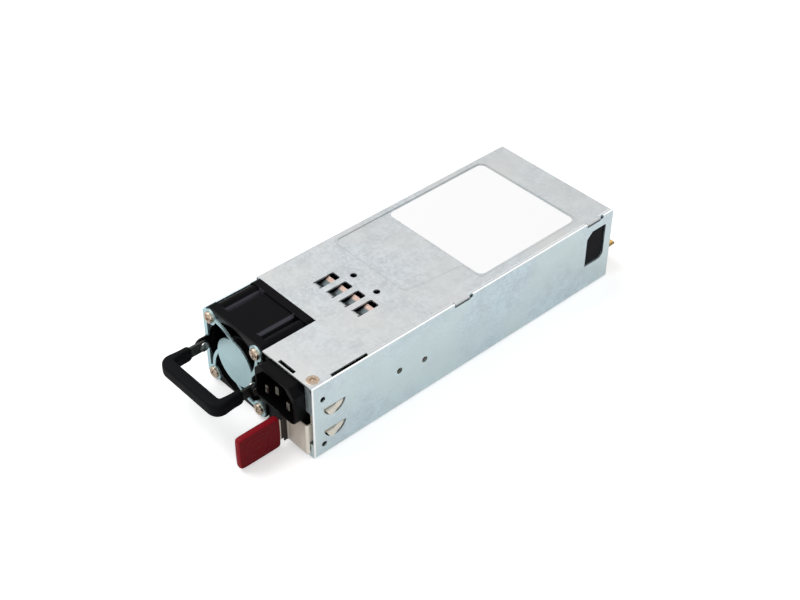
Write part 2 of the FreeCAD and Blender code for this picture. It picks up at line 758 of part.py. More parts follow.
def rear_panel():
    """Rear wall inside the tray's flanges, with staggered six-sided vents and the card's slot."""
    front = REAR_INNER - SHEET
    half = INNER - FILM
    roof = COVER_UNDER - SEAM
    back = front + SHEET
    path = [(half, front - REAR_TAB), (half, back), (-half, back), (-half, front - REAR_TAB)]
    panel = folded_sheet_upright(path, SHEET, BEND, SHEET, roof)
    slot_half = CARD_SHOULDER + SEAM
    slot_high = CARD_TOP + CARD_SLOT_MARGIN
    slot = rectangle_across(-slot_half, slot_half, CARD_Z - CARD_SLOT_MARGIN, slot_high, front - SHEET)
    cuts = [even_plate(slot, SHEET, BACK * 3 * SHEET)]
    fold_low = CASE_HEIGHT - COVER_FLANGE - SEAM
    cuts.append(block(COVER_HALF - SHEET - SEAM, INNER, 0, CASE_LENGTH, fold_low, CASE_HEIGHT))
    rise = VENT_PITCH * math.sqrt(3) / 2
    rows = int((roof - slot_high - VENT_PITCH) / rise)
    columns = int(2 * (half - REAR_FLANGE) / VENT_PITCH)
    for row in range(rows):
        shift = VENT_PITCH / 2 if row % 2 else 0
        height = slot_high + VENT_PITCH * 0.8 + row * rise
        for column in range(columns):
            across = (column - (columns - 1) / 2) * VENT_PITCH + shift
            if abs(across) + VENT_RADIUS < half - REAR_FLANGE:
                cuts.append(prism(Vector(across, front - SHEET, height), BACK, VENT_RADIUS, 3 * SHEET, 6))
    return cut_all(panel, cuts)


def window_film():
    """Insulating film inside the right wall, behind its window."""
    y0 = WINDOW_START - FILM_MARGIN
    y1 = WINDOW_START + WINDOW_LENGTH - SEAM
    return block(INNER - FILM, INNER, y0, y1, WINDOW_LOW - FILM_MARGIN, WINDOW_HIGH + SHEET)


# Fan

def fan_square(half, depth, length):
    """Square slab of the fan with rounded upright corners, facing the front."""
    corners = rectangle_across(FAN_X - half, FAN_X + half, FAN_Z - half, FAN_Z + half, depth)
    return even_plate(corners, FAN_CORNER, BACK * length)


def fan_rod(depth, radius, length):
    """Round bar on the fan's axis."""
    return rod(Vector(FAN_X, depth, FAN_Z), BACK, radius, length)


def fan_frame():
    """Moulded fan frame: two square flanges, eight-sided body, screw bosses, duct, struts and motor plate."""
    pieces = [fan_square(FAN_SIZE / 2, FAN_FRONT, FAN_FLANGE)]
    pieces.append(fan_square(FAN_SIZE / 2, FAN_REAR - FAN_FLANGE, FAN_FLANGE))
    pieces.append(fan_body())
    for across, height in fan_corners():
        pieces.append(rod(Vector(across, FAN_FRONT, height), BACK, FAN_BOSS_RADIUS, FAN_DEPTH))
    frame = fuse_all(pieces)
    centre = Vector(FAN_X, FAN_FRONT, FAN_Z)
    mouth = Part.makeCone(FAN_DUCT_RADIUS + FAN_MOUTH, FAN_DUCT_RADIUS, FAN_FLANGE / 2, centre, BACK)
    cuts = [fan_rod(FAN_FRONT - 1, FAN_DUCT_RADIUS, FAN_DEPTH + 2), mouth]
    cuts += fan_screw_holes(FAN_FRONT, FAN_DEPTH)
    pieces = [cut_all(frame, cuts), fan_rod(FAN_REAR - MOTOR_PLATE, MOTOR_PLATE_RADIUS, MOTOR_PLATE)]
    for index in range(STRUT_COUNT):
        pieces.append(fan_strut(360 / STRUT_COUNT * index + 45))
    tube_start = bearing_front()
    tube_length = FAN_REAR - tube_start
    pieces.append(fan_rod(tube_start, BEARING_RADIUS + BEARING_TUBE_WALL, tube_length))
    bore = fan_rod(tube_start - 1, BEARING_RADIUS, tube_length + 1 - MOTOR_PLATE / 2)
    return fuse_all(pieces).cut(bore)


def fan_body():
    """Eight-sided body between the fan's flanges: flat sides with long bevels at the corners."""
    flat = FAN_FLAT_HALF
    side = FAN_SIZE / 2 - FAN_BODY_STEP
    outline = [(flat, side), (side, flat), (side, -flat), (flat, -side),
               (-flat, -side), (-side, -flat), (-side, flat), (-flat, side)]
    corners = [Vector(FAN_X + across, FAN_FRONT, FAN_Z + up) for across, up in outline]
    return even_plate(corners, 0, BACK * FAN_DEPTH)


def fan_strut(angle):
    """One strut from the duct to the motor plate."""
    half = STRUT_WIDTH / 2
    low = FAN_REAR - STRUT_DEPTH
    strut = block(MOTOR_PLATE_RADIUS - 1, FAN_DUCT_RADIUS + 0.5, low, FAN_REAR, -half, half)
    strut.rotate(Vector(0, 0, 0), BACK, angle)
    strut.translate(Vector(FAN_X, 0, FAN_Z))
    return strut


def fan_screw_holes(start, length):
    """Tools for the four screw holes of the fan, between two depths."""
    tools = []
    for across, height in fan_corners():
        base = Vector(across, start - 1, height)
        tools.append(prism(base, BACK, FAN_HOLE_RADIUS, length + 2, HIDDEN_SIDES))
    return tools


def bearing_front():
    """Depth at which the bearing tube starts, inside the rotor's hub."""
    return FAN_FRONT + HUB_START + HUB_WALL + 1.4


def fan_bearings():
    """Two sleeve bearings, at the ends of the tube."""
    first = bearing_front()
    second = FAN_REAR - MOTOR_PLATE - BEARING_LENGTH - 0.6
    bore = FAN_SHAFT_RADIUS + SHAFT_PLAY
    pair = []
    for depth in (first, second):
        pair.append(tube(Vector(FAN_X, depth, FAN_Z), BACK, BEARING_RADIUS, bore, BEARING_LENGTH))
    return Part.makeCompound(pair)


def fan_shaft():
    """Steel shaft, pressed into the hub."""
    start = FAN_FRONT + HUB_START + HUB_WALL
    return fan_rod(start, FAN_SHAFT_RADIUS, FAN_REAR - MOTOR_PLATE - 0.4 - start)


def fan_stator():
    """Laminated core with its poles around the bearing tube."""
    depth = bearing_front() + BEARING_LENGTH / 2
    inner = BEARING_RADIUS + BEARING_TUBE_WALL
    centre = Vector(FAN_X, depth, FAN_Z)
    pieces = [prism(centre, BACK, inner + SHOE_HALF / 2, STATOR_LENGTH, HIDDEN_SIDES)]
    for index in range(STATOR_POLES):
        leg = block(0, STATOR_RADIUS - SHOE / 2, depth, depth + STATOR_LENGTH, -POLE_HALF, POLE_HALF)
        shoe = block(STATOR_RADIUS - SHOE, STATOR_RADIUS, depth, depth + STATOR_LENGTH, -SHOE_HALF, SHOE_HALF)
        for shape in (leg, shoe):
            shape.rotate(Vector(0, 0, 0), BACK, 360 / STATOR_POLES * index)
            shape.translate(Vector(FAN_X, 0, FAN_Z))
            pieces.append(shape)
    around = 1 / math.cos(math.pi / HIDDEN_SIDES)
    bore = prism(centre - BACK, BACK, inner * around, STATOR_LENGTH + 2, HIDDEN_SIDES)
    return fuse_all(pieces).cut(bore)


def fan_coils():
    """One copper coil round each pole of the stator."""
    depth = bearing_front() + BEARING_LENGTH / 2
    inner = BEARING_RADIUS + BEARING_TUBE_WALL + SHOE_HALF / 2
    outer = STATOR_RADIUS - SHOE
    wide = POLE_HALF + COIL
    coils = []
    for index in range(STATOR_POLES):
        coil = block(inner, outer, depth - COIL_HEAD, depth + STATOR_LENGTH + COIL_HEAD, -wide, wide)
        coil = coil.cut(block(inner - 1, outer + 1, depth, depth + STATOR_LENGTH, -POLE_HALF, POLE_HALF))
        coil.rotate(Vector(0, 0, 0), BACK, 360 / STATOR_POLES * index)
        coil.translate(Vector(FAN_X, 0, FAN_Z))
        coils.append(coil)
    return Part.makeCompound(coils)


def blade_section(height, half_chord):
    """Cambered section of a blade, in the plane at one height above the fan's axis."""
    start = FAN_FRONT + HUB_START + 1.2
    leading = []
    trailing = []
    for step in range(BLADE_STATIONS):
        along = step / (BLADE_STATIONS - 1)
        middle = half_chord * (1 - 2 * along) + BLADE_CAMBER * math.sin(math.pi * along)
        half_thick = BLADE_THICKNESS / 2 * (0.45 + 0.55 * math.sin(math.pi * (0.15 + 0.75 * along)))
        depth = start + BLADE_LENGTH * along
        leading.append(Vector(FAN_X + middle + half_thick, depth, FAN_Z + height))
        trailing.append(Vector(FAN_X + middle - half_thick, depth, FAN_Z + height))
    corners = leading + trailing[::-1]
    return Part.makePolygon(corners + corners[:1])


def fan_impeller():
    """Hub cup with swept blades lofted from hub to tip."""
    start = FAN_FRONT + HUB_START
    inside = HUB_RADIUS - HUB_WALL
    hub = fan_rod(start, HUB_RADIUS, HUB_LENGTH)
    rim = edges_where(hub, lambda middle, line: middle.y < start + 1e-6)
    hub = hub.makeChamfer(HUB_WALL, rim).cut(fan_rod(start + HUB_WALL, inside, HUB_LENGTH))
    tip = FAN_DUCT_RADIUS - BLADE_TIP_PLAY
    half_sweep = math.radians(BLADE_SWEEP / 2)
    middle_wall = HUB_RADIUS - HUB_WALL / 2
    root_chord = middle_wall * math.sin(half_sweep)
    root = math.sqrt(middle_wall ** 2 - (root_chord + BLADE_THICKNESS / 2) ** 2)
    sections = []
    for height in (root, tip + BLADE_THICKNESS):
        sections.append(blade_section(height, height * math.sin(half_sweep)))
    blade = Part.makeLoft(sections, True, True).common(fan_rod(start - 1, tip, HUB_LENGTH + 2))
    blade = blade.cut(fan_rod(start, inside, HUB_LENGTH))
    blades = []
    for index in range(BLADE_COUNT):
        turned = blade.copy()
        turned.rotate(Vector(FAN_X, 0, FAN_Z), BACK, 360 / BLADE_COUNT * index)
        blades.append(turned)
    return fuse_all([hub] + blades)


def rotor_magnet():
    """Magnet ring inside the hub."""
    start = FAN_FRONT + HUB_START + HUB_WALL + 0.6
    outer = HUB_RADIUS - HUB_WALL
    length = HUB_LENGTH - HUB_WALL - 2
    return tube(Vector(FAN_X, start, FAN_Z), BACK, outer, outer - MAGNET_THICKNESS, length)


def arc_band(first, middle, last, width, depth, thickness):
    """Flat curved strip that faces the front, along an arc through three points."""
    circle = Part.Circle(*[Vector(point[0], depth, point[1]) for point in (first, middle, last)])
    centre = circle.Center
    edges = []
    rims = []
    for shift in (-width / 2, width / 2):
        points = []
        for point in (first, middle, last):
            ray = Vector(point[0], depth, point[1]) - centre
            points.append(centre + ray * ((circle.Radius + shift) / ray.Length))
        rims.append(points)
        edges.append(Part.Arc(points[0], points[1], points[2]).toShape())
    edges.append(Part.LineSegment(rims[0][0], rims[1][0]).toShape())
    edges.append(Part.LineSegment(rims[0][2], rims[1][2]).toShape())
    return Part.Face(Part.Wire(Part.__sortEdges__(edges))).extrude(BACK * thickness)


def fan_guard():
    """Stamped guard: a flat disc held by four curved spokes, screw lugs and a strip down the left."""
    depth = -GUARD_SHEET
    step = FAN_HOLE_SPACING / 2
    pieces = [fan_rod(depth, GUARD_DISC_RADIUS, GUARD_SHEET)]
    for quarter in range(4):
        lug_angle = math.radians(45 + 90 * quarter)
        rim_angle = math.radians(90 * quarter)
        diagonal = step * math.sqrt(2)
        lug = (FAN_X + diagonal * math.cos(lug_angle), FAN_Z + diagonal * math.sin(lug_angle))
        reach = GUARD_DISC_RADIUS - GUARD_SPOKE_WIDTH / 2
        rim = (FAN_X + reach * math.cos(rim_angle), FAN_Z + reach * math.sin(rim_angle))
        middle = ((lug[0] + rim[0]) / 2, (lug[1] + rim[1]) / 2)
        outward = unit_step((FAN_X, FAN_Z), middle)
        bulge = (middle[0] + outward[0] * GUARD_SPOKE_BULGE, middle[1] + outward[1] * GUARD_SPOKE_BULGE)
        pieces.append(arc_band(lug, bulge, rim, GUARD_SPOKE_WIDTH, depth, GUARD_SHEET))
        pieces.append(rod(Vector(lug[0], depth, lug[1]), BACK, GUARD_LUG_RADIUS, GUARD_SHEET))
    left = -HALF_WIDTH
    rise = step + GUARD_LUG_RADIUS / 2
    strip = rectangle_across(left, left + GUARD_STRIP_WIDTH, FAN_Z - rise, FAN_Z + rise, depth)
    pieces.append(even_plate(strip, GUARD_SHEET, BACK * GUARD_SHEET))
    half = GUARD_LUG_RADIUS * 0.7
    for height in (FAN_Z - step, FAN_Z + step):
        pieces.append(block(left + GUARD_SHEET, FAN_X - step, depth, 0, height - half, height + half))
    cuts = fan_screw_holes(depth, GUARD_SHEET)
    ear_half = EAR_HEIGHT / 2 + SEAM
    ear_right = GUARD_STRIP_WIDTH - INNER
    cuts.append(block(-INNER, ear_right, depth - 1, 1, HANDLE_PIVOT_Z - ear_half, HANDLE_PIVOT_Z + ear_half))
    return cut_all(fuse_all(pieces), cuts)


def handle_bracket():
    """Square ring behind the guard with two ears bent forward, which carry the handle."""
    half = FAN_SIZE / 2
    corners = rectangle_across(FAN_X - half, FAN_X + half, FAN_Z - half, FAN_Z + half, 0)
    pieces = [even_plate(corners, FAN_CORNER, BACK * GUARD_SHEET)]
    pieces.append(ear(FAN_X - half))
    pieces.append(ear(FAN_X + half - GUARD_SHEET))
    cuts = [fan_rod(-1, FAN_DUCT_RADIUS + 0.2, 4)]
    cuts += fan_screw_holes(0, GUARD_SHEET)
    pivot = Vector(FAN_X - FAN_SIZE, HANDLE_PIVOT_DEPTH, HANDLE_PIVOT_Z)
    cuts.append(rod(pivot, RIGHT, RIVET_RADIUS, 2 * FAN_SIZE))
    return cut_all(fuse_all(pieces), cuts)


def ear(left):
    """One ear of the handle's bracket, rounded at its tip."""
    half = EAR_HEIGHT / 2
    front = HANDLE_PIVOT_DEPTH - half
    corners = [Vector(left, front, HANDLE_PIVOT_Z - half), Vector(left, GUARD_SHEET, HANDLE_PIVOT_Z - half),
               Vector(left, GUARD_SHEET, HANDLE_PIVOT_Z + half), Vector(left, front, HANDLE_PIVOT_Z + half)]
    tip = half * 0.9
    return rounded_plate(corners, [tip, 0, 0, tip], RIGHT * GUARD_SHEET)


def fan_screws():
    """Four pan-head screws that hold guard, bracket and fan together."""
    face = -GUARD_SHEET
    length = FAN_FRONT + FAN_FLANGE - face
    screws = []
    for across, height in fan_corners():
        front = Vector(across, face - FAN_SCREW_HEAD_HEIGHT, height)
        head = rod(front, BACK, FAN_SCREW_HEAD, FAN_SCREW_HEAD_HEIGHT)
        shank = prism(Vector(across, face, height), BACK, FAN_SCREW_RADIUS, length, HIDDEN_SIDES)
        screws.append(fuse_all([head, shank]))
    return Part.makeCompound(screws)


# Handle

def arm_offset():
    """Distance from the fan's middle to the middle of a handle arm."""
    return FAN_SIZE / 2 - GUARD_SHEET - ARM_PLAY - STRAP_THICKNESS / 2


def handle_strap():
    """Steel U with round ends about the pivot."""
    half_t = STRAP_THICKNESS / 2
    side = arm_offset() + half_t
    front = HANDLE_PIVOT_DEPTH - STRAP_REACH + GRIP_BAR / 2
    low = HANDLE_PIVOT_Z - STRAP_HEIGHT / 2
    rear = HANDLE_PIVOT_DEPTH
    path = [(FAN_X - side, rear), (FAN_X - side, front), (FAN_X + side, front), (FAN_X + side, rear)]
    strap = folded_sheet_upright(path, STRAP_THICKNESS, STRAP_BEND, low, low + STRAP_HEIGHT)
    pieces = [strap]
    for left in (FAN_X - side, FAN_X + side - STRAP_THICKNESS):
        pieces.append(rod(Vector(left, rear, HANDLE_PIVOT_Z), RIGHT, STRAP_HEIGHT / 2, STRAP_THICKNESS))
    strap = fuse_all(pieces)
    bore = rod(Vector(FAN_X - FAN_SIZE, rear, HANDLE_PIVOT_Z), RIGHT, RIVET_RADIUS + RIVET_PLAY, 2 * FAN_SIZE)
    return strap.cut(bore)


def handle_grip():
    """Soft grip moulded round the front of the strap."""
    outer = arm_offset() + GRIP_ARM / 2
    inner = arm_offset() - GRIP_ARM / 2
    front = HANDLE_PIVOT_DEPTH - STRAP_REACH
    rear = front + GRIP_ARM_LENGTH
    bar = front + GRIP_BAR
    low = HANDLE_PIVOT_Z - GRIP_HEIGHT / 2
    corners = [Vector(FAN_X - outer, front, low), Vector(FAN_X + outer, front, low),
               Vector(FAN_X + outer, rear, low), Vector(FAN_X + inner, rear, low),
               Vector(FAN_X + inner, bar, low), Vector(FAN_X - inner, bar, low),
               Vector(FAN_X - inner, rear, low), Vector(FAN_X - outer, rear, low)]
    inside = GRIP_CORNER / 2
    grip = rounded_plate(corners, [GRIP_CORNER, GRIP_CORNER, 0, 0, inside, inside, 0, 0], UP * GRIP_HEIGHT)
    half = GRIP_HEIGHT / 2
    level = edges_where(grip, lambda middle, line: abs(abs(middle.z - HANDLE_PIVOT_Z) - half) < 1e-6)
    return grip.makeChamfer(GRIP_EDGE, level).cut(handle_strap())


def handle_rivets():
    """Two rivets through the ears and the arms, headed outside and inside."""
    rivets = []
    outside = FAN_SIZE / 2
    inside = arm_offset() - STRAP_THICKNESS / 2 - ARM_PLAY
    for sign in (-1, 1):
        start = Vector(FAN_X + sign * (inside - RIVET_HEAD), HANDLE_PIVOT_DEPTH, HANDLE_PIVOT_Z)
        direction = RIGHT * sign
        shank = rod(start, direction, RIVET_RADIUS, outside - inside + 2 * RIVET_HEAD)
        inner_head = rod(start, direction, RIVET_HEAD_RADIUS, RIVET_HEAD)
        outer_start = Vector(FAN_X + sign * outside, HANDLE_PIVOT_DEPTH, HANDLE_PIVOT_Z)
        outer_head = rod(outer_start, direction, RIVET_HEAD_RADIUS, RIVET_HEAD)
        rivets.append(fuse_all([shank, inner_head, outer_head]))
    return Part.makeCompound(rivets)


# Mains inlet

def inlet_outline(width, height, chamfer, depth):
    """Outline of the inlet: a rectangle whose two upper corners are cut off."""
    left = INLET_X - width / 2
    right = INLET_X + width / 2
    low = INLET_Z - height / 2
    high = INLET_Z + height / 2
    shoulder = high - chamfer
    return [Vector(left, depth, low), Vector(right, depth, low),
            Vector(right, depth, shoulder), Vector(right - chamfer, depth, high),
            Vector(left + chamfer, depth, high), Vector(left, depth, shoulder)]


def inlet_housing():
    """Moulded inlet: raised shroud, mounting plate, rear body, and the socket's hollow."""
    outline = inlet_outline(INLET_WIDTH, INLET_HEIGHT, INLET_CHAMFER, -INLET_PROUD)
    low = INLET_LOW_CORNER
    edge = INLET_EDGE
    shroud = rounded_plate(outline, [low, low, edge, edge, edge, edge], BACK * (INLET_PROUD + SHEET))
    rim = edges_where(shroud, lambda middle, line: middle.y < -INLET_PROUD + 1e-6)
    shroud = shroud.makeChamfer(INLET_EDGE / 2, rim)
    plate_left = FAN_BAY_RIGHT + SEAM
    plate_top = COVER_UNDER - SHEET - SEAM
    plate = block(plate_left, INLET_PLATE_RIGHT, SHEET, SHEET + INLET_PLATE_DEPTH, SHEET, plate_top)
    body_outline = inlet_outline(INLET_BODY_WIDTH, INLET_HEIGHT - 2 * SHEET, INLET_BODY_CHAMFER, SHEET)
    body = even_plate(body_outline, INLET_EDGE, BACK * (INLET_BODY_DEPTH - SHEET))
    socket_outline = inlet_outline(SOCKET_WIDTH, SOCKET_HEIGHT, SOCKET_CHAMFER, -INLET_PROUD - 1)
    cuts = [even_plate(socket_outline, INLET_EDGE, BACK * (SOCKET_DEPTH + 1))]
    for across, height in pin_places():
        cuts.append(pin_blade(across, height, 0, INLET_BODY_DEPTH + 1))
    return cut_all(fuse_all([shroud, plate, body]), cuts)


def pin_places():
    """Places of the three pins: the earth above, the two line pins below."""
    line = INLET_Z - LINE_PIN_FALL
    return [(INLET_X, INLET_Z + EARTH_PIN_RISE), (INLET_X - PIN_SIDE, line), (INLET_X + PIN_SIDE, line)]


def pin_blade(across, height, y0, y1):
    """Straight blade between two depths."""
    wide = PIN_WIDTH / 2
    tall = PIN_HEIGHT / 2
    return block(across - wide, across + wide, y0, y1, height - tall, height + tall)


def inlet_pins():
    """Three plated blades with chamfered tips and tails for the small board behind."""
    pins = []
    tip = -INLET_PROUD + PIN_RECESS
    for across, height in pin_places():
        pin = pin_blade(across, height, tip, INLET_BODY_DEPTH + PIN_TAIL)
        ends = edges_where(pin, lambda middle, line: middle.y < tip + 1e-6)
        pins.append(pin.makeChamfer(PIN_WIDTH / 4, ends))
    return Part.makeCompound(pins)


def inlet_board():
    """Small board soldered to the inlet's tails."""
    left = INLET_X - INLET_BODY_WIDTH / 2
    right = INLET_X + INLET_BODY_WIDTH / 2
    board = block(left, right, INLET_BODY_DEPTH, INLET_BODY_DEPTH + BOARD, BOARD_TOP, COVER_UNDER - 1)
    cuts = []
    for across, height in pin_places():
        cuts.append(pin_blade(across, height, 0, CASE_LENGTH))
    return cut_all(board, cuts)


# Latch

def latch_spring():
    """Bent spring strip: leaf along the right wall, cross plate, the tab's tongue, two half-moon catches."""
    tab_x = TAB_RIGHT - TAB_THICKNESS / 3
    tip = TAB_START + TAB_LENGTH / 2
    outer = LATCH_X + LATCH_SHEET / 2
    root_x = INNER - LATCH_SHEET / 2 - SEAM
    jog_start = LATCH_HINGE_DEPTH - LATCH_JOG
    path = [(tab_x, tip), (tab_x, LATCH_CROSS_DEPTH), (outer, LATCH_CROSS_DEPTH), (outer, jog_start),
            (root_x, LATCH_HINGE_DEPTH - 1), (root_x, LATCH_HINGE_DEPTH)]
    strip = folded_strip(path)
    leaf_start = LATCH_CROSS_DEPTH + LATCH_SHEET + LATCH_BEND
    low_cut = block(0, INNER, leaf_start, LATCH_HINGE_DEPTH + 1, 0, LATCH_LOW)
    cross_cut = block(0, HALF_WIDTH, TAB_START, SHEET + SEAM, LATCH_CROSS_HIGH, CASE_HEIGHT)
    tongue_low = block(0, tab_x + 1, TAB_START, LATCH_CROSS_DEPTH - 2, 0, TAB_LOW + 3)
    tongue_high = block(0, tab_x + 1, TAB_START, LATCH_CROSS_DEPTH - 2, TAB_HIGH - 3, CASE_HEIGHT)
    strip = cut_all(strip, [low_cut, cross_cut, tongue_low, tongue_high])
    pieces = [strip]
    for top in CATCH_TOPS:
        tooth = catch_shape(top, LATCH_X, HALF_WIDTH + CATCH_PROUD, 0)
        pieces.append(tooth.cut(catch_ramp()))
    return fuse_all(pieces)


def folded_strip(path):
    """The latch's strip at its full height."""
    return folded_sheet_upright(path, LATCH_SHEET, LATCH_BEND, LATCH_CROSS_LOW, LATCH_HIGH)


def catch_ramp():
    """What slopes the catches away towards the rear, so that they slide in."""
    y0 = CATCH_START + CATCH_LENGTH * CATCH_RAMP_START
    y1 = CATCH_START + CATCH_LENGTH * CATCH_RAMP_END
    y2 = CATCH_START + CATCH_LENGTH + 1
    high = HALF_WIDTH + CATCH_PROUD
    low = HALF_WIDTH - SHEET / 2
    corners = [Vector(high, y0, 0), Vector(high + 2, y0, 0), Vector(high + 2, y2, 0), Vector(low, y2, 0),
               Vector(low, y1, 0)]
    return Part.Face(Part.makePolygon(corners + corners[:1])).extrude(UP * CASE_HEIGHT)


def latch_anchor():
    """Fixed root of the latch, spot-welded inside the right wall."""
    y0 = LATCH_HINGE_DEPTH + SEAM
    y1 = y0 + LATCH_ANCHOR_LENGTH
    left = INNER - LATCH_SHEET
    high = LATCH_HIGH + 1
    corners = rectangle_side(left, y0, y1, LATCH_LOW, high)
    plate = rounded_plate(corners, [0, ANCHOR_CORNER, ANCHOR_CORNER, 0], RIGHT * LATCH_SHEET)
    cuts = []
    for depth, height in SIDE_HOLES:
        start = Vector(INNER - 2 * SHEET, depth, height)
        cuts.append(prism(start, RIGHT, SIDE_HOLE_RADIUS + SEAM, 3 * SHEET, HIDDEN_SIDES))
    return cut_all(plate, cuts)


def latch_tab():
    """Plastic thumb tab moulded on the latch's tongue."""
    left = TAB_RIGHT - TAB_THICKNESS
    corners = rectangle_side(left, TAB_START, TAB_START + TAB_LENGTH, TAB_LOW, TAB_HIGH)
    tab = even_plate(corners, TAB_CORNER, RIGHT * TAB_THICKNESS)
    half = TAB_THICKNESS / 2
    rims = edges_where(tab, lambda middle, line: abs(abs(middle.x - left - half) - half) < 1e-6)
    return tab.makeChamfer(TAB_EDGE, rims).cut(latch_spring())


# Boards

def standoff_places():
    """Places of the main board's pillars."""
    across = BOARD_HALF - STANDOFF_INSET
    middle = (BOARD_START + BOARD_END) / 2 - STANDOFF_MIDDLE_SHIFT
    rows = (BOARD_START + STANDOFF_END, middle, BOARD_END - STANDOFF_END)
    return [(side * across, depth) for side in (-1, 1) for depth in rows]


def main_board():
    """Main circuit board, with its screw holes and the notch beside the latch."""
    board = block(-BOARD_HALF, BOARD_HALF, BOARD_START, BOARD_END, BOARD_Z, BOARD_TOP)
    notch_end = LATCH_HINGE_DEPTH + LATCH_ANCHOR_LENGTH + BOARD_NOTCH
    cuts = [block(BOARD_HALF - BOARD_NOTCH, HALF_WIDTH, 0, notch_end, 0, CASE_HEIGHT)]
    for across, depth in standoff_places():
        cuts.append(prism(Vector(across, depth, 0), UP, BOARD_SCREW_RADIUS, CASE_HEIGHT, HIDDEN_SIDES))
    return cut_all(board, cuts)


def board_standoffs():
    """Six-sided pillars pressed into the tray's base."""
    pillars = []
    for across, depth in standoff_places():
        pillars.append(prism(Vector(across, depth, SHEET), UP, STANDOFF_RADIUS, BOARD_Z - SHEET, 6))
    return Part.makeCompound(pillars)


def board_screws():
    """Screws that hold the main board down on its pillars."""
    screws = []
    for across, depth in standoff_places():
        shank = prism(Vector(across, depth, BOARD_Z), UP, BOARD_SCREW_RADIUS, BOARD, HIDDEN_SIDES)
        top = Vector(across, depth, BOARD_TOP)
        head = prism(top, UP, BOARD_SCREW_HEAD, BOARD_SCREW_HEAD_HEIGHT, CAN_SIDES)
        screws.append(fuse_all([shank, head]))
    return Part.makeCompound(screws)


def card_board():
    """Output board whose rear edge is the plug-in card edge."""
    corners = [Vector(-CARD_SHOULDER, CARD_START, CARD_Z), Vector(CARD_SHOULDER, CARD_START, CARD_Z),
               Vector(CARD_SHOULDER, REAR_INNER, CARD_Z), Vector(CARD_HALF, REAR_INNER, CARD_Z),
               Vector(CARD_HALF, CARD_END, CARD_Z), Vector(-CARD_HALF, CARD_END, CARD_Z),
               Vector(-CARD_HALF, REAR_INNER, CARD_Z), Vector(-CARD_SHOULDER, REAR_INNER, CARD_Z)]
    board = rounded_plate(corners, [1, 1, 0, 0, 0.6, 0.6, 0, 0], UP * BOARD)
    tip = edges_where(board, lambda middle, line: middle.y > CARD_END - 1e-6 and abs(line.z) < 1e-6)
    return board.makeChamfer(BOARD / 4, tip)


def gold_contacts():
    """Gold-plated fingers on both faces of the card edge."""
    fingers = []
    end = CARD_END - BOARD / 2
    for index in range(CONTACT_COUNT):
        middle = (index - (CONTACT_COUNT - 1) / 2) * CONTACT_PITCH
        left = middle - CONTACT_WIDTH / 2
        right = middle + CONTACT_WIDTH / 2
        for low in (CARD_TOP, CARD_Z - CONTACT_FOIL):
            fingers.append(block(left, right, end - CONTACT_LENGTH, end, low, low + CONTACT_FOIL))
    return Part.makeCompound(fingers)


# Electronics

def ring_height(radius, core, wire):
    """Height of a wound ring's centre above the base."""
    return BOARD_TOP + radius + core + 2 * wire


def wound_ring(x, depth, radius, core, wire, turns, gap):
    """Turns of wire round an upright ring core, left out near the gaps between two windings."""
    centre = Vector(x, depth, ring_height(radius, core, wire))
    near = (radius - core) * math.cos(math.pi / CAN_SIDES) - WIRE_PLAY
    far = radius + core + WIRE_PLAY
    side = core + WIRE_PLAY
    turn = block(near - wire, far + wire, -side - wire, side + wire, -wire / 2, wire / 2)
    turn = turn.cut(block(near, far, -side, side, -wire, wire))
    loops = []
    for index in range(turns):
        angle = 360 / turns * (index + 0.5)
        if abs((angle % 180) - 90) < gap:
            continue
        loop = turn.copy()
        loop.rotate(Vector(0, 0, 0), BACK, angle)
        loop.translate(centre)
        loops.append(loop)
    return Part.makeCompound(loops)


def ring_core(x, depth, radius, core, wire):
    """Coated ring core that stands on edge."""
    start = Vector(x, depth - core, ring_height(radius, core, wire))
    ring = prism(start, BACK, radius + core, 2 * core, CAN_SIDES)
    return ring.cut(prism(start, BACK, radius - core, 2 * core, CAN_SIDES))


def filter_choke_core():
    """Common-mode choke's ring."""
    return ring_core(CHOKE_X, CHOKE_DEPTH, CHOKE_RADIUS, CHOKE_CORE, CHOKE_WIRE)


def filter_choke_winding():
    """Two separate windings of the common-mode choke."""
    return wound_ring(CHOKE_X, CHOKE_DEPTH, CHOKE_RADIUS, CHOKE_CORE, CHOKE_WIRE, CHOKE_TURNS * 2, 16)


def filter_choke_base():
    """Plastic base under the common-mode choke."""
    return ring_base(CHOKE_X, CHOKE_DEPTH, CHOKE_RADIUS, CHOKE_CORE, CHOKE_WIRE)


def ring_base(x, depth, radius, core, wire):
    """Low saddle that the wound ring lies in."""
    reach = math.hypot(radius + core + WIRE_PLAY + wire, wire / 2)
    height = ring_height(radius, core, wire)
    half_width = radius * 0.8
    half_depth = core + wire
    y0 = depth - half_depth
    y1 = depth + half_depth
    saddle = block(x - half_width, x + half_width, y0, y1, BOARD_TOP, BOARD_TOP + core)
    return saddle.cut(rod(Vector(x, y0, height), BACK, reach, y1 - y0))


def pfc_choke_core():
    """Ring of the boost choke."""
    return ring_core(PFC_X, PFC_DEPTH, PFC_RADIUS, PFC_CORE, PFC_WIRE)


def pfc_choke_winding():
    """Heavy winding of the boost choke, all the way round."""
    return wound_ring(PFC_X, PFC_DEPTH, PFC_RADIUS, PFC_CORE, PFC_WIRE, PFC_TURNS, 0)


def pfc_choke_base():
    """Plastic base under the boost choke."""
    return ring_base(PFC_X, PFC_DEPTH, PFC_RADIUS, PFC_CORE, PFC_WIRE)


def on_board(x, depth, width, length, height, radius):
    """Upright moulded box with rounded edges that stands on the main board."""
    side = width / 2
    end = length / 2
    body = block(x - side, x + side, depth - end, depth + end, BOARD_TOP, BOARD_TOP + height)
    edges = edges_where(body, lambda middle, line: middle.z > BOARD_TOP + 1e-6)
    return body.makeChamfer(radius, edges)


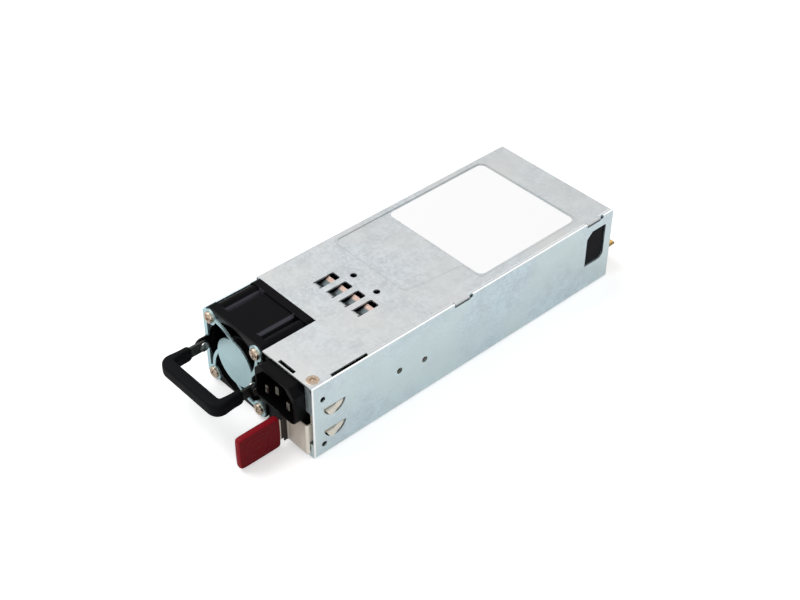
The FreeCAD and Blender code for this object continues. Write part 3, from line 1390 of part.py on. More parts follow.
def suppression_capacitor():
    """Boxed film capacitor across the line."""
    return on_board(XCAP_X, XCAP_DEPTH, XCAP_WIDTH, XCAP_LENGTH, XCAP_HEIGHT, 0.8)


def earth_capacitors():
    """Two disc capacitors to earth, with their leads."""
    left = YCAP_X - YCAP_THICKNESS / 2
    height = BOARD_TOP + YCAP_RADIUS + YCAP_STAND
    discs = []
    for middle in YCAP_DEPTHS:
        pieces = [prism(Vector(left, middle, height), RIGHT, YCAP_RADIUS, YCAP_THICKNESS, CAN_SIDES)]
        for depth in (middle - YCAP_RADIUS / 2, middle + YCAP_RADIUS / 2):
            pieces.append(lead(YCAP_X, depth, height))
        discs.append(fuse_all(pieces))
    return Part.makeCompound(discs)


def lead(across, depth, top):
    """Square lead that rises from the main board."""
    half = YCAP_LEAD
    return block(across - half, across + half, depth - half, depth + half, BOARD_TOP, top)


def fuse_holder():
    """Round fuse lying between two clips."""
    start = FUSE_DEPTH - FUSE_LENGTH / 2
    height = BOARD_TOP + FUSE_RADIUS + FUSE_STAND
    end = start + FUSE_LENGTH - FUSE_CLIP_LENGTH
    pieces = [prism(Vector(FUSE_X, start, height), BACK, FUSE_RADIUS, FUSE_LENGTH, CAN_SIDES)]
    for depth in (start, end):
        clip = Vector(FUSE_X, depth, height)
        pieces.append(prism(clip, BACK, FUSE_RADIUS + FUSE_CLIP, FUSE_CLIP_LENGTH, CAN_SIDES))
        pieces.append(block(FUSE_X - FUSE_CLIP_HALF, FUSE_X + FUSE_CLIP_HALF, depth, depth + FUSE_CLIP_LENGTH,
                            BOARD_TOP, height))
    return fuse_all(pieces)


def inrush_relay():
    """Relay in a moulded case."""
    return on_board(RELAY_X, RELAY_DEPTH, RELAY_WIDTH, RELAY_LENGTH, RELAY_HEIGHT, 0.7)


def bridge_rectifier():
    """Flat bridge rectifier standing on its leads, with the bevelled corner."""
    low = BOARD_TOP + BRIDGE_STAND
    half = BRIDGE_WIDTH / 2
    depth = BRIDGE_DEPTH - BRIDGE_THICKNESS / 2
    corners = rectangle_across(BRIDGE_X - half, BRIDGE_X + half, low, low + BRIDGE_HEIGHT, depth)
    corners = corners[:3] + [corners[3] + RIGHT * BRIDGE_BEVEL, corners[3] - UP * BRIDGE_BEVEL]
    pieces = [even_plate(corners, 0, BACK * BRIDGE_THICKNESS)]
    y0 = BRIDGE_DEPTH - BRIDGE_LEAD_THICKNESS / 2
    y1 = BRIDGE_DEPTH + BRIDGE_LEAD_THICKNESS / 2
    for index in range(BRIDGE_LEADS):
        across = BRIDGE_X + (index - (BRIDGE_LEADS - 1) / 2) * BRIDGE_LEAD_PITCH
        pieces.append(block(across - BRIDGE_LEAD_HALF, across + BRIDGE_LEAD_HALF, y0, y1, BOARD_TOP, low))
    return fuse_all(pieces)


def bulk_capacitor():
    """Large can lying along the case."""
    start = Vector(BULK_X, BULK_START, BOARD_TOP + BULK_RADIUS + SADDLE_STAND)
    return prism(start, BACK, BULK_RADIUS, BULK_LENGTH, BULK_SIDES)


def bulk_saddle():
    """Adhesive saddles between the can and the board."""
    last = BULK_START + BULK_LENGTH - SADDLE_END - SADDLE_LENGTH
    saddles = []
    for depth in (BULK_START + SADDLE_END, last):
        saddle = block(BULK_X - SADDLE_HALF, BULK_X + SADDLE_HALF, depth, depth + SADDLE_LENGTH,
                       BOARD_TOP, BOARD_TOP + SADDLE_HEIGHT)
        saddles.append(saddle.cut(bulk_capacitor()))
    return Part.makeCompound(saddles)


def primary_heatsink():
    """Extruded heatsink: upright plate with fins to the right."""
    top = BOARD_TOP + SINK_HEIGHT
    end = SINK_START + SINK_LENGTH
    right = SINK_X + SINK_PLATE
    pieces = [block(SINK_X, right, SINK_START, end, BOARD_TOP, top)]
    count = int((SINK_HEIGHT - SWITCH_HEIGHT - SINK_FIN_PITCH) / SINK_FIN_PITCH) + 1
    for index in range(count):
        high = top - index * SINK_FIN_PITCH
        pieces.append(block(SINK_X, right + SINK_FIN_REACH, SINK_START, end, high - SINK_FIN, high))
    return fuse_all(pieces)


def power_switches():
    """Power transistors clamped flat on the heatsink, standing on their leads."""
    left = SINK_X + SINK_PLATE
    low = BOARD_TOP + SWITCH_STAND
    lead_left = left + LEAD_OFFSET
    switches = []
    for index in range(SWITCH_COUNT):
        depth = SINK_START + SWITCH_START + index * SWITCH_PITCH
        pieces = [block(left, left + SWITCH_THICKNESS, depth, depth + SWITCH_WIDTH, low, low + SWITCH_HEIGHT)]
        for step in (-1, 0, 1):
            near = depth + (SWITCH_WIDTH - LEAD_WIDTH) / 2 + step * LEAD_PITCH
            pieces.append(block(lead_left, lead_left + LEAD_WIDTH, near, near + LEAD_WIDTH, BOARD_TOP, low))
        switches.append(fuse_all(pieces))
    return Part.makeCompound(switches)


def transformer_core():
    """Ferrite core: end plates, side legs and a centre leg."""
    x0 = TRANSFORMER_X - TRANSFORMER_WIDTH / 2
    x1 = TRANSFORMER_X + TRANSFORMER_WIDTH / 2
    y0 = TRANSFORMER_DEPTH - TRANSFORMER_LENGTH / 2
    y1 = TRANSFORMER_DEPTH + TRANSFORMER_LENGTH / 2
    top = BOARD_TOP + TRANSFORMER_HEIGHT
    pieces = [block(x0, x1, y0, y1, BOARD_TOP, BOARD_TOP + TRANSFORMER_PLATE)]
    pieces.append(block(x0, x1, y0, y1, top - TRANSFORMER_PLATE, top))
    pieces.append(block(x0, x0 + TRANSFORMER_LEG, y0, y1, BOARD_TOP, top))
    pieces.append(block(x1 - TRANSFORMER_LEG, x1, y0, y1, BOARD_TOP, top))
    foot = Vector(TRANSFORMER_X, TRANSFORMER_DEPTH, BOARD_TOP)
    pieces.append(prism(foot, UP, TRANSFORMER_LEG, TRANSFORMER_HEIGHT, CAN_SIDES))
    return fuse_all(pieces)


def transformer_winding():
    """Taped winding on its bobbin, round the centre leg."""
    outer = TRANSFORMER_WIDTH / 2 - TRANSFORMER_LEG
    height = TRANSFORMER_HEIGHT - 2 * TRANSFORMER_PLATE
    foot = Vector(TRANSFORMER_X, TRANSFORMER_DEPTH, BOARD_TOP + TRANSFORMER_PLATE)
    pieces = [prism(foot, UP, outer - BOBBIN_STEP, height, CAN_SIDES)]
    pieces.append(prism(foot, UP, outer, BOBBIN_FLANGE, CAN_SIDES))
    pieces.append(prism(foot + UP * (height - BOBBIN_FLANGE), UP, outer, BOBBIN_FLANGE, CAN_SIDES))
    return fuse_all(pieces).cut(prism(foot, UP, TRANSFORMER_LEG + BOBBIN_PLAY, height, CAN_SIDES))


def resonant_inductor():
    """Resonant inductor's squat core, open at front and rear."""
    core = on_board(RESONANT_X, RESONANT_DEPTH, RESONANT_SIZE, RESONANT_SIZE, RESONANT_HEIGHT, SHEET)
    return core.cut(resonant_space(RESONANT_SIZE / 2 + 1))


def resonant_space(reach):
    """Block that fills the inductor's opening, as far as a reach to front and rear."""
    half = RESONANT_SIZE / 2 - RESONANT_WALL
    low = BOARD_TOP + RESONANT_WALL
    high = BOARD_TOP + RESONANT_HEIGHT - RESONANT_WALL
    front = RESONANT_DEPTH - reach
    rear = RESONANT_DEPTH + reach
    return block(RESONANT_X - half, RESONANT_X + half, front, rear, low, high)


def resonant_winding():
    """Winding in the inductor's opening, a little behind its faces."""
    return resonant_space(RESONANT_SIZE / 2 - RESONANT_SETBACK)


def output_capacitors():
    """Row of small cans on the output board."""
    cans = []
    for index in range(OUTPUT_CAP_COUNT):
        across = (index - (OUTPUT_CAP_COUNT - 1) / 2) * OUTPUT_CAP_PITCH
        foot = Vector(across, OUTPUT_CAP_DEPTH, CARD_TOP)
        cans.append(prism(foot, UP, OUTPUT_CAP_RADIUS, OUTPUT_CAP_HEIGHT, CAN_SIDES))
    return Part.makeCompound(cans)


def output_busbars():
    """Two copper straps that rise from the main board to the output board."""
    foot = BUSBAR_DEPTH - BUSBAR_FOOT
    path = [(foot, BOARD_TOP), (BUSBAR_DEPTH, BOARD_TOP), (BUSBAR_DEPTH, CARD_Z)]
    half = BUSBAR_WIDTH / 2
    straps = []
    for across in BUSBAR_X:
        straps.append(folded_sheet_across(path, BUSBAR_THICKNESS, BEND, across - half, across + half))
    return Part.makeCompound(straps)


def output_heatsink():
    """Finned heatsink on the output board, over the rectifier stage."""
    half = OUTPUT_SINK_HALF
    front = CARD_START + OUTPUT_SINK_GAP
    rear = OUTPUT_CAP_DEPTH - OUTPUT_CAP_RADIUS - OUTPUT_SINK_GAP
    pieces = [block(-half, half, front, rear, CARD_TOP, CARD_TOP + OUTPUT_SINK_BASE)]
    top = CARD_TOP + OUTPUT_SINK_HEIGHT
    count = int((2 * half - OUTPUT_SINK_FIN) / OUTPUT_SINK_PITCH) + 1
    for index in range(count):
        left = -half + index * OUTPUT_SINK_PITCH
        pieces.append(block(left, left + OUTPUT_SINK_FIN, front, rear, CARD_TOP, top))
    return fuse_all(pieces)


def control_board():
    """Upright control board, along the right wall."""
    end = CONTROL_START + CONTROL_LENGTH
    return block(CONTROL_X, CONTROL_X + BOARD, CONTROL_START, end, BOARD_TOP, BOARD_TOP + CONTROL_HEIGHT)


def control_chips():
    """Flat chips on the inner face of the control board."""
    chips = []
    for index, height in enumerate(CHIP_HEIGHTS):
        depth = CONTROL_START + CHIP_START + index * CHIP_PITCH
        low = BOARD_TOP + height
        face = CONTROL_X - CHIP_HEIGHT
        chips.append(block(face, CONTROL_X, depth, depth + CHIP_SIZE, low, low + CHIP_SIZE))
    return Part.makeCompound(chips)


PIECES = {
    "chassis_tray": chassis_tray,
    "top_cover": top_cover,
    "rear_panel": rear_panel,
    "cover_screw": cover_screw,
    "rating_label": rating_label,
    "window_film": window_film,
    "fan_guard": fan_guard,
    "handle_bracket": handle_bracket,
    "fan_screws": fan_screws,
    "fan_frame": fan_frame,
    "fan_impeller": fan_impeller,
    "rotor_magnet": rotor_magnet,
    "fan_shaft": fan_shaft,
    "fan_bearings": fan_bearings,
    "fan_stator": fan_stator,
    "fan_coils": fan_coils,
    "handle_strap": handle_strap,
    "handle_grip": handle_grip,
    "handle_rivets": handle_rivets,
    "inlet_housing": inlet_housing,
    "inlet_pins": inlet_pins,
    "inlet_board": inlet_board,
    "latch_spring": latch_spring,
    "latch_anchor": latch_anchor,
    "latch_tab": latch_tab,
    "main_board": main_board,
    "board_standoffs": board_standoffs,
    "board_screws": board_screws,
    "card_board": card_board,
    "gold_contacts": gold_contacts,
    "filter_choke_core": filter_choke_core,
    "filter_choke_winding": filter_choke_winding,
    "filter_choke_base": filter_choke_base,
    "suppression_capacitor": suppression_capacitor,
    "earth_capacitors": earth_capacitors,
    "mains_fuse": fuse_holder,
    "inrush_relay": inrush_relay,
    "bridge_rectifier": bridge_rectifier,
    "pfc_choke_core": pfc_choke_core,
    "pfc_choke_winding": pfc_choke_winding,
    "pfc_choke_base": pfc_choke_base,
    "bulk_capacitor": bulk_capacitor,
    "bulk_saddles": bulk_saddle,
    "primary_heatsink": primary_heatsink,
    "power_switches": power_switches,
    "transformer_core": transformer_core,
    "transformer_winding": transformer_winding,
    "resonant_core": resonant_inductor,
    "resonant_winding": resonant_winding,
    "output_busbars": output_busbars,
    "output_heatsink": output_heatsink,
    "output_capacitors": output_capacitors,
    "control_board": control_board,
    "control_chips": control_chips,
}


def main():
    """Build every piece and write it as one file each."""
    os.makedirs("parts", exist_ok=True)
    for name, build in PIECES.items():
        shape = build()
        shape.translate(ORIGIN_SHIFT)
        shape.exportStep(os.path.join("parts", name + ".step"))
        state = "valid" if shape.isValid() else "INVALID"
        print(name, len(shape.Solids), "solids", round(shape.Volume, 1), "mm3", state)


main()
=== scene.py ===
"""Looks of the hot swap server power supply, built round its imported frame.

All sizes are written in millimetres and turned to metres by one constant. The frame has x across,
y from the front to the rear with its zero at the middle of the case, and z up from the base.
"""

import logging
import math
from dataclasses import dataclass, field
from enum import Enum

import bmesh
import bpy
import numpy as np
from mathutils import Matrix, Vector

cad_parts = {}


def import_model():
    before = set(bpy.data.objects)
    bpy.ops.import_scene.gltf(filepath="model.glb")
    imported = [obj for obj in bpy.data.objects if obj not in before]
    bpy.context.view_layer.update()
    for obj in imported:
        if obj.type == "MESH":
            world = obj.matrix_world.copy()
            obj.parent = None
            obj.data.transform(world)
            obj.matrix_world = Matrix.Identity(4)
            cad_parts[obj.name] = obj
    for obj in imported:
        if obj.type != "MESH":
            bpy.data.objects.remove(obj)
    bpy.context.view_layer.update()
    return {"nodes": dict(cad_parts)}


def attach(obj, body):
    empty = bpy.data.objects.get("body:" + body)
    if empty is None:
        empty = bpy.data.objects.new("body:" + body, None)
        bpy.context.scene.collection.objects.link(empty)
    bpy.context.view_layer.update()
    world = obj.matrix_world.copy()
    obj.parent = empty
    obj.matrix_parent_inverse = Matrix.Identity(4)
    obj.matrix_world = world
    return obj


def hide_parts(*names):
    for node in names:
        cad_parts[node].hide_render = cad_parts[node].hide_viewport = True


LOG = logging.getLogger("power_supply")
MM = 0.001
FRONT = -92.5
CASE_TOP = 40.0
WALL_FACE = 36.75
OUTSIDE = 1.0  # a limit this far outside the case cuts nothing off
SOFT_CREASE = math.radians(35)
CRISP_CREASE = math.radians(50)
WELD = 1e-7  # metres within which points are one
COLLAPSE = 1e-8  # metres below which an edge is dropped

Node = bpy.types.Node
Tree = bpy.types.NodeTree
Feed = Node | bpy.types.NodeSocket | float
Point = tuple[float, float, float]
Span = tuple[float, float]


# Colour and node helpers

MATH = "ShaderNodeMath"
SPAN = "ShaderNodeMapRange"
NOISE = "ShaderNodeTexNoise"
CELLS = "ShaderNodeTexVoronoi"
SHADER = "surface"
WHITE = (1, 1, 1, 1)
STRETCH = "ShaderNodeMapping"
ALONG_X, ALONG_Y, ALONG_Z = (0.02, 1, 1), (1, 0.02, 1), (1, 1, 0.02)  # lines 50 times as long as wide
WAVE_PERIOD = math.pi / 10  # width of one band of the wave texture at a scale of one
SUBTRACT, MULTIPLY, MULTIPLY_ADD, MAXIMUM, MINIMUM, ABSOLUTE, GREATER_THAN = (
    (MATH, {"operation": name})
    for name in "SUBTRACT MULTIPLY MULTIPLY_ADD MAXIMUM MINIMUM ABSOLUTE GREATER_THAN".split()
)


def srgb(code: str) -> tuple[float, float, float, float]:
    """Turns a hex colour to the linear values that shaders take.

    Args:
        code: A hash and six hex digits.

    Returns:
        Linear red, green and blue, and an alpha of one.
    """
    parts = [int(code[start : start + 2], 16) / 255 for start in (1, 3, 5)]
    linear = [c / 12.92 if c <= 0.04045 else ((c + 0.055) / 1.055) ** 2.4 for c in parts]
    return (*linear, 1.0)


def add_node(tree: Tree, kind: str, settings: dict | None = None, feeds: dict | None = None) -> Node:
    """Adds one shader node.

    Args:
        tree: The node tree that gets the node.
        kind: Blender's name of the node's type.
        settings: Settings by name, or values of inputs by name or number.
        feeds: A socket, a node, for its first output, or a number, by the input's name or number.

    Returns:
        The new node.
    """
    node = tree.nodes.new(kind)
    for key, value in (settings or {}).items():
        if isinstance(key, str) and hasattr(node, key):
            setattr(node, key, value)
        else:
            node.inputs[key].default_value = value
    for key, source in (feeds or {}).items():
        if isinstance(source, (int, float)):
            node.inputs[key].default_value = source
        else:
            tree.links.new(getattr(source, "outputs", [source])[0], node.inputs[key])
    return node


def fresh_tree(owner: bpy.types.Material | bpy.types.World) -> Tree:
    """Turns a material's or world's nodes on and empties its tree."""
    owner.use_nodes = True
    owner.node_tree.nodes.clear()
    return owner.node_tree


def sized(size_mm: float, **more: float | str) -> dict:
    """Settings of a texture whose pattern repeats once in a length, and any further ones."""
    return {"Scale": 1 / (size_mm * MM), **more}


def smooth_span(start: float, end: float) -> dict:
    """Settings of a smooth rise from 0 at a start to 1 at an end, which may be the lesser."""
    return {"interpolation_type": "SMOOTHSTEP", "From Min": start, "From Max": end}


def case_place(tree: Tree, place: Feed) -> tuple[Feed, Feed, Feed]:
    """Place across the case, depth behind its front face and height, in millimetres.

    Args:
        tree: The material's node tree.
        place: Object coordinates.

    Returns:
        The three sockets.
    """
    settings = {"operation": "MULTIPLY_ADD", 1: (1 / MM,) * 3, 2: (0, -FRONT, 0)}
    moved = add_node(tree, "ShaderNodeVectorMath", settings, {0: place})
    parts = add_node(tree, "ShaderNodeSeparateXYZ", feeds={0: moved}).outputs
    return parts[0], parts[1], parts[2]


def within(tree: Tree, *limits: tuple[Feed, float, float, float]) -> Feed:
    """A mask that is 1 where every value lies between its limits.

    Args:
        tree: The material's node tree.
        *limits: Each value, its lower and upper limit, and the soft edge outside them.

    Returns:
        The product of one smooth rise and one smooth fall for each value.
    """
    mask: Feed = 1.0
    for value, low, high, soft in limits:
        for outer, inner in ((low - soft, low), (high + soft, high)):
            edge = add_node(tree, SPAN, smooth_span(outer, inner), {"Value": value})
            mask = add_node(tree, *MULTIPLY, {0: mask, 1: edge})
    return mask


# Finishes


@dataclass(frozen=True)
class Finish:
    """A finish made of one Principled shader, to which each kind of finish adds its pattern."""

    label: str
    colour: str
    roughness: float = 0.5
    metallic: float = 0.0
    specular: float = 0.5
    tone: float = 0.25  # share by which the darkest parts of the pattern fall
    swing: float = 0.08  # half the range of the roughness
    depth_mm: float = 0.01  # height of the relief
    shown: float = 0.25  # how much of it shows, 0 to 1

    def build(self) -> bpy.types.Material:
        """Makes the material, or returns the one made before."""
        made = bpy.data.materials.get(self.label)
        if made:
            return made
        material = bpy.data.materials.new(self.label)
        tree = fresh_tree(material)
        settings = {
            "name": SHADER,
            "Base Color": srgb(self.colour),
            "Metallic": self.metallic,
            "Roughness": self.roughness,
            "Specular IOR Level": self.specular,
        }
        shader = add_node(tree, "ShaderNodeBsdfPrincipled", settings)
        add_node(tree, "ShaderNodeOutputMaterial", feeds={"Surface": shader})
        self.dress(tree, add_node(tree, "ShaderNodeTexCoord").outputs["Object"])
        material.diffuse_color = srgb(self.colour)
        return material

    def dress(self, tree: Tree, place: Feed) -> None:
        """Adds the surface's pattern.

        Args:
            tree: The material's node tree.
            place: Object coordinates.
        """
        raise NotImplementedError

    def tint(self, tree: Tree, amount: Feed) -> None:
        """Varies the colour's value by a pattern.

        Args:
            tree: The material's node tree.
            amount: The pattern, about 0 to 1.
        """
        full = srgb(self.colour)
        low = (*(c * (1 - self.tone) for c in full[:3]), 1.0)
        mix = add_node(tree, "ShaderNodeMix", {"data_type": "RGBA", 6: low, 7: full}, {0: amount})
        tree.links.new(mix.outputs[2], tree.nodes[SHADER].inputs["Base Color"])

    def overlay(self, tree: Tree, mask: Feed, code: str) -> None:
        """Lays another colour over the one that feeds the shader already.

        Args:
            tree: The material's node tree, tinted before.
            mask: Where the other colour shows, 0 to 1.
            code: The other colour as hex.
        """
        colour = tree.nodes[SHADER].inputs["Base Color"]
        feeds = {0: mask, 6: colour.links[0].from_socket}
        mix = add_node(tree, "ShaderNodeMix", {"data_type": "RGBA", 7: srgb(code)}, feeds)
        tree.links.new(mix.outputs[2], colour)

    def relief(self, tree: Tree, height: Feed, depth_mm: float, shown: float) -> None:
        """Adds a height pattern to what feeds the shader's normal.

        Args:
            tree: The material's node tree.
            height: The pattern.
            depth_mm: Height of its relief in millimetres.
            shown: How much of it shows, 0 to 1.
        """
        normal = tree.nodes[SHADER].inputs["Normal"]
        feeds = {"Height": height} | {"Normal": link.from_socket for link in normal.links}
        bump = add_node(tree, "ShaderNodeBump", {"Strength": shown, "Distance": depth_mm * MM}, feeds)
        tree.links.new(bump.outputs["Normal"], normal)

    def vary_gloss(self, tree: Tree, amount: Feed) -> None:
        """Varies the roughness about its mean by a pattern of about 0 to 1."""
        limits = {"To Min": self.roughness - self.swing, "To Max": self.roughness + self.swing}
        span = add_node(tree, SPAN, limits, {"Value": amount})
        tree.links.new(span.outputs["Result"], tree.nodes[SHADER].inputs["Roughness"])


@dataclass(frozen=True)
class ZincSheet(Finish):
    """Hot-dip galvanised sheet: flat zinc crystals, clouds and faint streaks from the rolls, a
    cool grey with a frosty sheen."""

    metallic: float = 1.0
    tone: float = 0.14
    swing: float = 0.06
    crystal_mm: float = 1.1
    crystal_share: float = 0.45  # what they add to the clouds
    streak_mm: float = 0.8
    stretch: Point = (1, 0.12, 1)
    streak_share: float = 0.7  # what they add to the clouds
    mottle_mm: float = 7.0  # size of the clouds
    levels: Span = (0.55, 1.55)  # sums of the three that are darkest and lightest
    drift_mm: float = 38.0  # size of the patches of another tone
    drift_levels: Span = (0.35, 0.75)  # where they begin and are full
    drift: str = "#C0D8DB"  # their colour
    tooth_mm: float = 0.35  # width of the finest unevenness

    def dress(self, tree: Tree, place: Feed) -> None:
        """Crystals from cells, clouds and streaks from noise, and gloss that follows them."""
        here = {"Vector": place}
        cells = add_node(tree, CELLS, sized(self.crystal_mm), here)
        crystal = add_node(tree, "ShaderNodeSeparateColor", feeds={"Color": cells.outputs["Color"]})
        clouds = add_node(tree, NOISE, sized(self.mottle_mm, Detail=6.0), here)
        rolled = add_node(tree, STRETCH, {"Scale": self.stretch}, here)
        streaks = add_node(tree, NOISE, sized(self.streak_mm, Detail=3.0), {"Vector": rolled})
        both = add_node(tree, *MULTIPLY_ADD, {0: crystal, 1: self.crystal_share, 2: clouds})
        pattern = add_node(tree, *MULTIPLY_ADD, {0: streaks, 1: self.streak_share, 2: both})
        level = add_node(tree, SPAN, smooth_span(*self.levels), {"Value": pattern})
        self.tint(tree, level)
        wide = add_node(tree, NOISE, sized(self.drift_mm), here)
        patches = add_node(tree, SPAN, smooth_span(*self.drift_levels), {"Value": wide})
        self.overlay(tree, patches, self.drift)
        self.vary_gloss(tree, level)
        self.relief(tree, add_node(tree, NOISE, sized(self.tooth_mm), here), self.depth_mm, self.shown)


@dataclass(frozen=True)
class FoldedTray(ZincSheet):
    """The tray's sheet, with a painted highlight along its upper edges and front right corner,
    which draws a white line round the side."""

    # colour of the painted highlight on the upper edges and the front right corner
    edge_highlight: str = "#FFFFFF"
    corner_highlight_mm: float = 0.35  # width of the line on the corner
    corner_highlight_fade: float = 0.4  # its soft edge across the case
    top_highlight_mm: float = 0.04  # depth of the painted highlight on the upper edges
    top_highlight_fade: float = 0.12  # its soft edge

    def dress(self, tree: Tree, place: Feed) -> None:
        """The sheet's pattern, and the white painted highlight on the upper edges and the corner."""
        super().dress(tree, place)
        x, depth, z = case_place(tree, place)
        upper = within(tree, (z, CASE_TOP - self.top_highlight_mm, CASE_TOP + OUTSIDE, self.top_highlight_fade))
        wall = (x, WALL_FACE - self.corner_highlight_mm, WALL_FACE + OUTSIDE, self.corner_highlight_fade)
        corner = within(tree, wall, (depth, -OUTSIDE, self.corner_highlight_mm, self.corner_highlight_mm))
        self.overlay(tree, add_node(tree, *MAXIMUM, {0: upper, 1: corner}), self.edge_highlight)


@dataclass(frozen=True)
class PressedCover(ZincSheet):
    """The cover's sheet. Painted shade darkens the outline of the label's recess, and painted shade
    makes what is bent down dull grey, with a warm painted highlight where a tongue rises again."""

    left: float = -33.0  # left side of the label's recess
    right: float = 30.8  # right side of its rear part
    narrow_right: float = 15.3  # right side at its front end
    taper: float = 3.7  # how far its front part widens to the rear
    start: float = 70.7  # its front end, behind the case's front face
    step: float = 102.3  # where its rear part begins
    end: float = 166.1  # its rear end
    rounding: float = 3.0
    # colour of the painted shade along the outline of the recess
    outline_shade: str = "#8E9698"
    outline_shade_mm: Span = (0.75, 0.1)  # from the outline to where it begins and is full
    outline_shade_share: float = 0.22  # how much of it shows
    slope_mm: float = 0.6  # half the width of the pressed slope
    press_mm: float = 0.12  # depth of the recess in the relief
    press_shown: float = 0.4  # how much of that shows
    # colour of the painted shade on all that is bent down below the top face
    under_shade: str = "#565E60"
    sunk: Span = (1.0, 0.25)  # its start below the top face, and its soft edge
    # colour of the warm painted highlight where the tongues rise again
    tongue_highlight: str = "#A08A80"
    tongues: Span = (51.9, 58.4)  # depths between which it lies
    tongue_fade: float = 1.0  # its soft edge

    def outline_distance(self, tree: Tree, x: Feed, depth: Feed) -> Feed:
        """Distance to the recess's outline, less than zero inside it.

        For each of its two parts that is the largest of the distances to its sides, rounded where
        they are alike, and the lesser of the two counts.

        Args:
            tree: The material's node tree.
            x: Place across the case.
            depth: Distance behind the front face.

        Returns:
            The distance in millimetres.
        """
        rounded = {"operation": "SMOOTH_MAX", 2: self.rounding}
        sides = []
        for value, low, high in ((x, self.left, self.right), (depth, self.step, self.end)):
            off = add_node(tree, *SUBTRACT, {0: value, 1: (low + high) / 2})
            size = add_node(tree, *ABSOLUTE, {0: off})
            sides.append(add_node(tree, *SUBTRACT, {0: size, 1: (high - low) / 2}))
        rear_part = add_node(tree, MATH, rounded, dict(enumerate(sides)))
        slope = self.taper / (self.step - self.start)
        slanted = add_node(tree, *MULTIPLY_ADD, {0: depth, 1: -slope, 2: x})
        right = add_node(tree, *SUBTRACT, {0: slanted, 1: self.narrow_right - slope * self.start})
        left = add_node(tree, *SUBTRACT, {0: self.left, 1: x})
        wider = add_node(tree, *MAXIMUM, {0: right, 1: left})
        front_end = add_node(tree, *SUBTRACT, {0: self.start, 1: depth})
        front_part = add_node(tree, MATH, rounded, {0: wider, 1: front_end})
        behind = add_node(tree, *SUBTRACT, {0: depth, 1: (self.step + self.end) / 2})
        open_part = add_node(tree, *MAXIMUM, {0: front_part, 1: behind})
        return add_node(tree, *MINIMUM, {0: rear_part, 1: open_part})

    def dress(self, tree: Tree, place: Feed) -> None:
        """The sheet's pattern, painted shade on the recess's shoulders, and painted shade and highlight on
        what is bent down.
        """
        super().dress(tree, place)
        x, depth, z = case_place(tree, place)
        distance = self.outline_distance(tree, x, depth)
        off_line = add_node(tree, *ABSOLUTE, {0: distance})
        fade = {**smooth_span(*self.outline_shade_mm), "To Max": self.outline_shade_share}
        self.overlay(tree, add_node(tree, SPAN, fade, {"Value": off_line}), self.outline_shade)
        slope = add_node(tree, SPAN, smooth_span(-self.slope_mm, self.slope_mm), {"Value": distance})
        self.relief(tree, slope, self.press_mm, self.press_shown)
        below = (z, 0, CASE_TOP - self.sunk[0], self.sunk[1])
        self.overlay(tree, within(tree, below), self.under_shade)
        self.overlay(tree, within(tree, below, (depth, *self.tongues, self.tongue_fade)), self.tongue_highlight)


@dataclass(frozen=True)
class Moulded(Finish):
    """Plastic from a spark-eroded mould: an even grain that spreads the highlight, and slight
    clouds. Coated, pressed and cast pieces have them too."""

    depth_mm: float = 0.02
    shown: float = 0.5
    grain_mm: float = 0.28  # coarser than the real 0.05 mm, to show
    cloud_mm: float = 7.0

    def dress(self, tree: Tree, place: Feed) -> None:
        """Fine noise as relief, wide noise in tone and gloss."""
        grain = add_node(tree, NOISE, sized(self.grain_mm, Detail=1.0), {"Vector": place})
        self.relief(tree, grain, self.depth_mm, self.shown)
        cloud = add_node(tree, NOISE, sized(self.cloud_mm, Detail=3.0), {"Vector": place})
        self.tint(tree, cloud)
        self.vary_gloss(tree, cloud)


@dataclass(frozen=True)
class FanMoulding(Moulded):
    """The fan frame's plastic, with a painted highlight on the long bevels beside its top: two grey
    streaks on a nearly black top."""

    streaks: tuple[Span, Span] = ((-29.1, -25.9), (-5.9, -5.2))  # painted highlights: their limits across the case
    length: Span = (5.5, 24.2)  # their ends behind the case's front face
    low: float = 34.0  # height above which they show
    side_fade: float = 0.5  # their soft edges
    end_fade: float = 1.0  # their soft ends
    # colour of the painted highlights on the bevels
    bevel_highlight: str = "#4A4A52"

    def dress(self, tree: Tree, place: Feed) -> None:
        """The plastic's grain, and a painted highlight on the bevels."""
        super().dress(tree, place)
        x, depth, z = case_place(tree, place)
        ends = (depth, *self.length, self.end_fade)
        for sides in self.streaks:
            mask = within(tree, (x, *sides, self.side_fade), ends, (z, self.low, CASE_TOP, self.end_fade))
            self.overlay(tree, mask, self.bevel_highlight)


@dataclass(frozen=True)
class ThumbPlastic(Moulded):
    """The red tab's plastic, with painted light on its upper and front edges, which look up or to the
    front.
    """

    # colour of the painted light on faces that look up or to the front
    painted_light: str = "#86131F"
    facing: Span = (0.25, 0.8)  # how far faces turn that way where it begins and is full

    def dress(self, tree: Tree, place: Feed) -> None:
        """The plastic's grain, and painted light on faces that look up or to the front."""
        super().dress(tree, place)
        facing = add_node(tree, "ShaderNodeTexCoord").outputs["Normal"]
        parts = add_node(tree, "ShaderNodeSeparateXYZ", feeds={0: facing}).outputs
        begin, full = self.facing
        up = add_node(tree, SPAN, smooth_span(begin, full), {"Value": parts[2]})
        ahead = add_node(tree, SPAN, smooth_span(-begin, -full), {"Value": parts[1]})
        self.overlay(tree, add_node(tree, *MAXIMUM, {0: up, 1: ahead}), self.painted_light)


@dataclass(frozen=True)
class Rolled(Finish):
    """Rolled, drawn or turned metal: fine lines along one axis, which draw the highlight out
    across them."""

    metallic: float = 1.0
    tone: float = 0.18
    swing: float = 0.07
    depth_mm: float = 0.006
    shown: float = 0.3
    line_mm: float = 0.3  # distance between lines
    stretch: Point = ALONG_Y

    def dress(self, tree: Tree, place: Feed) -> None:
        """Noise stretched along one axis, as tone, gloss and relief."""
        rolled = add_node(tree, STRETCH, {"Scale": self.stretch}, {"Vector": place})
        lines = add_node(tree, NOISE, sized(self.line_mm, Detail=3.0), {"Vector": rolled})
        self.tint(tree, lines)
        self.vary_gloss(tree, lines)
        self.relief(tree, lines, self.depth_mm, self.shown)


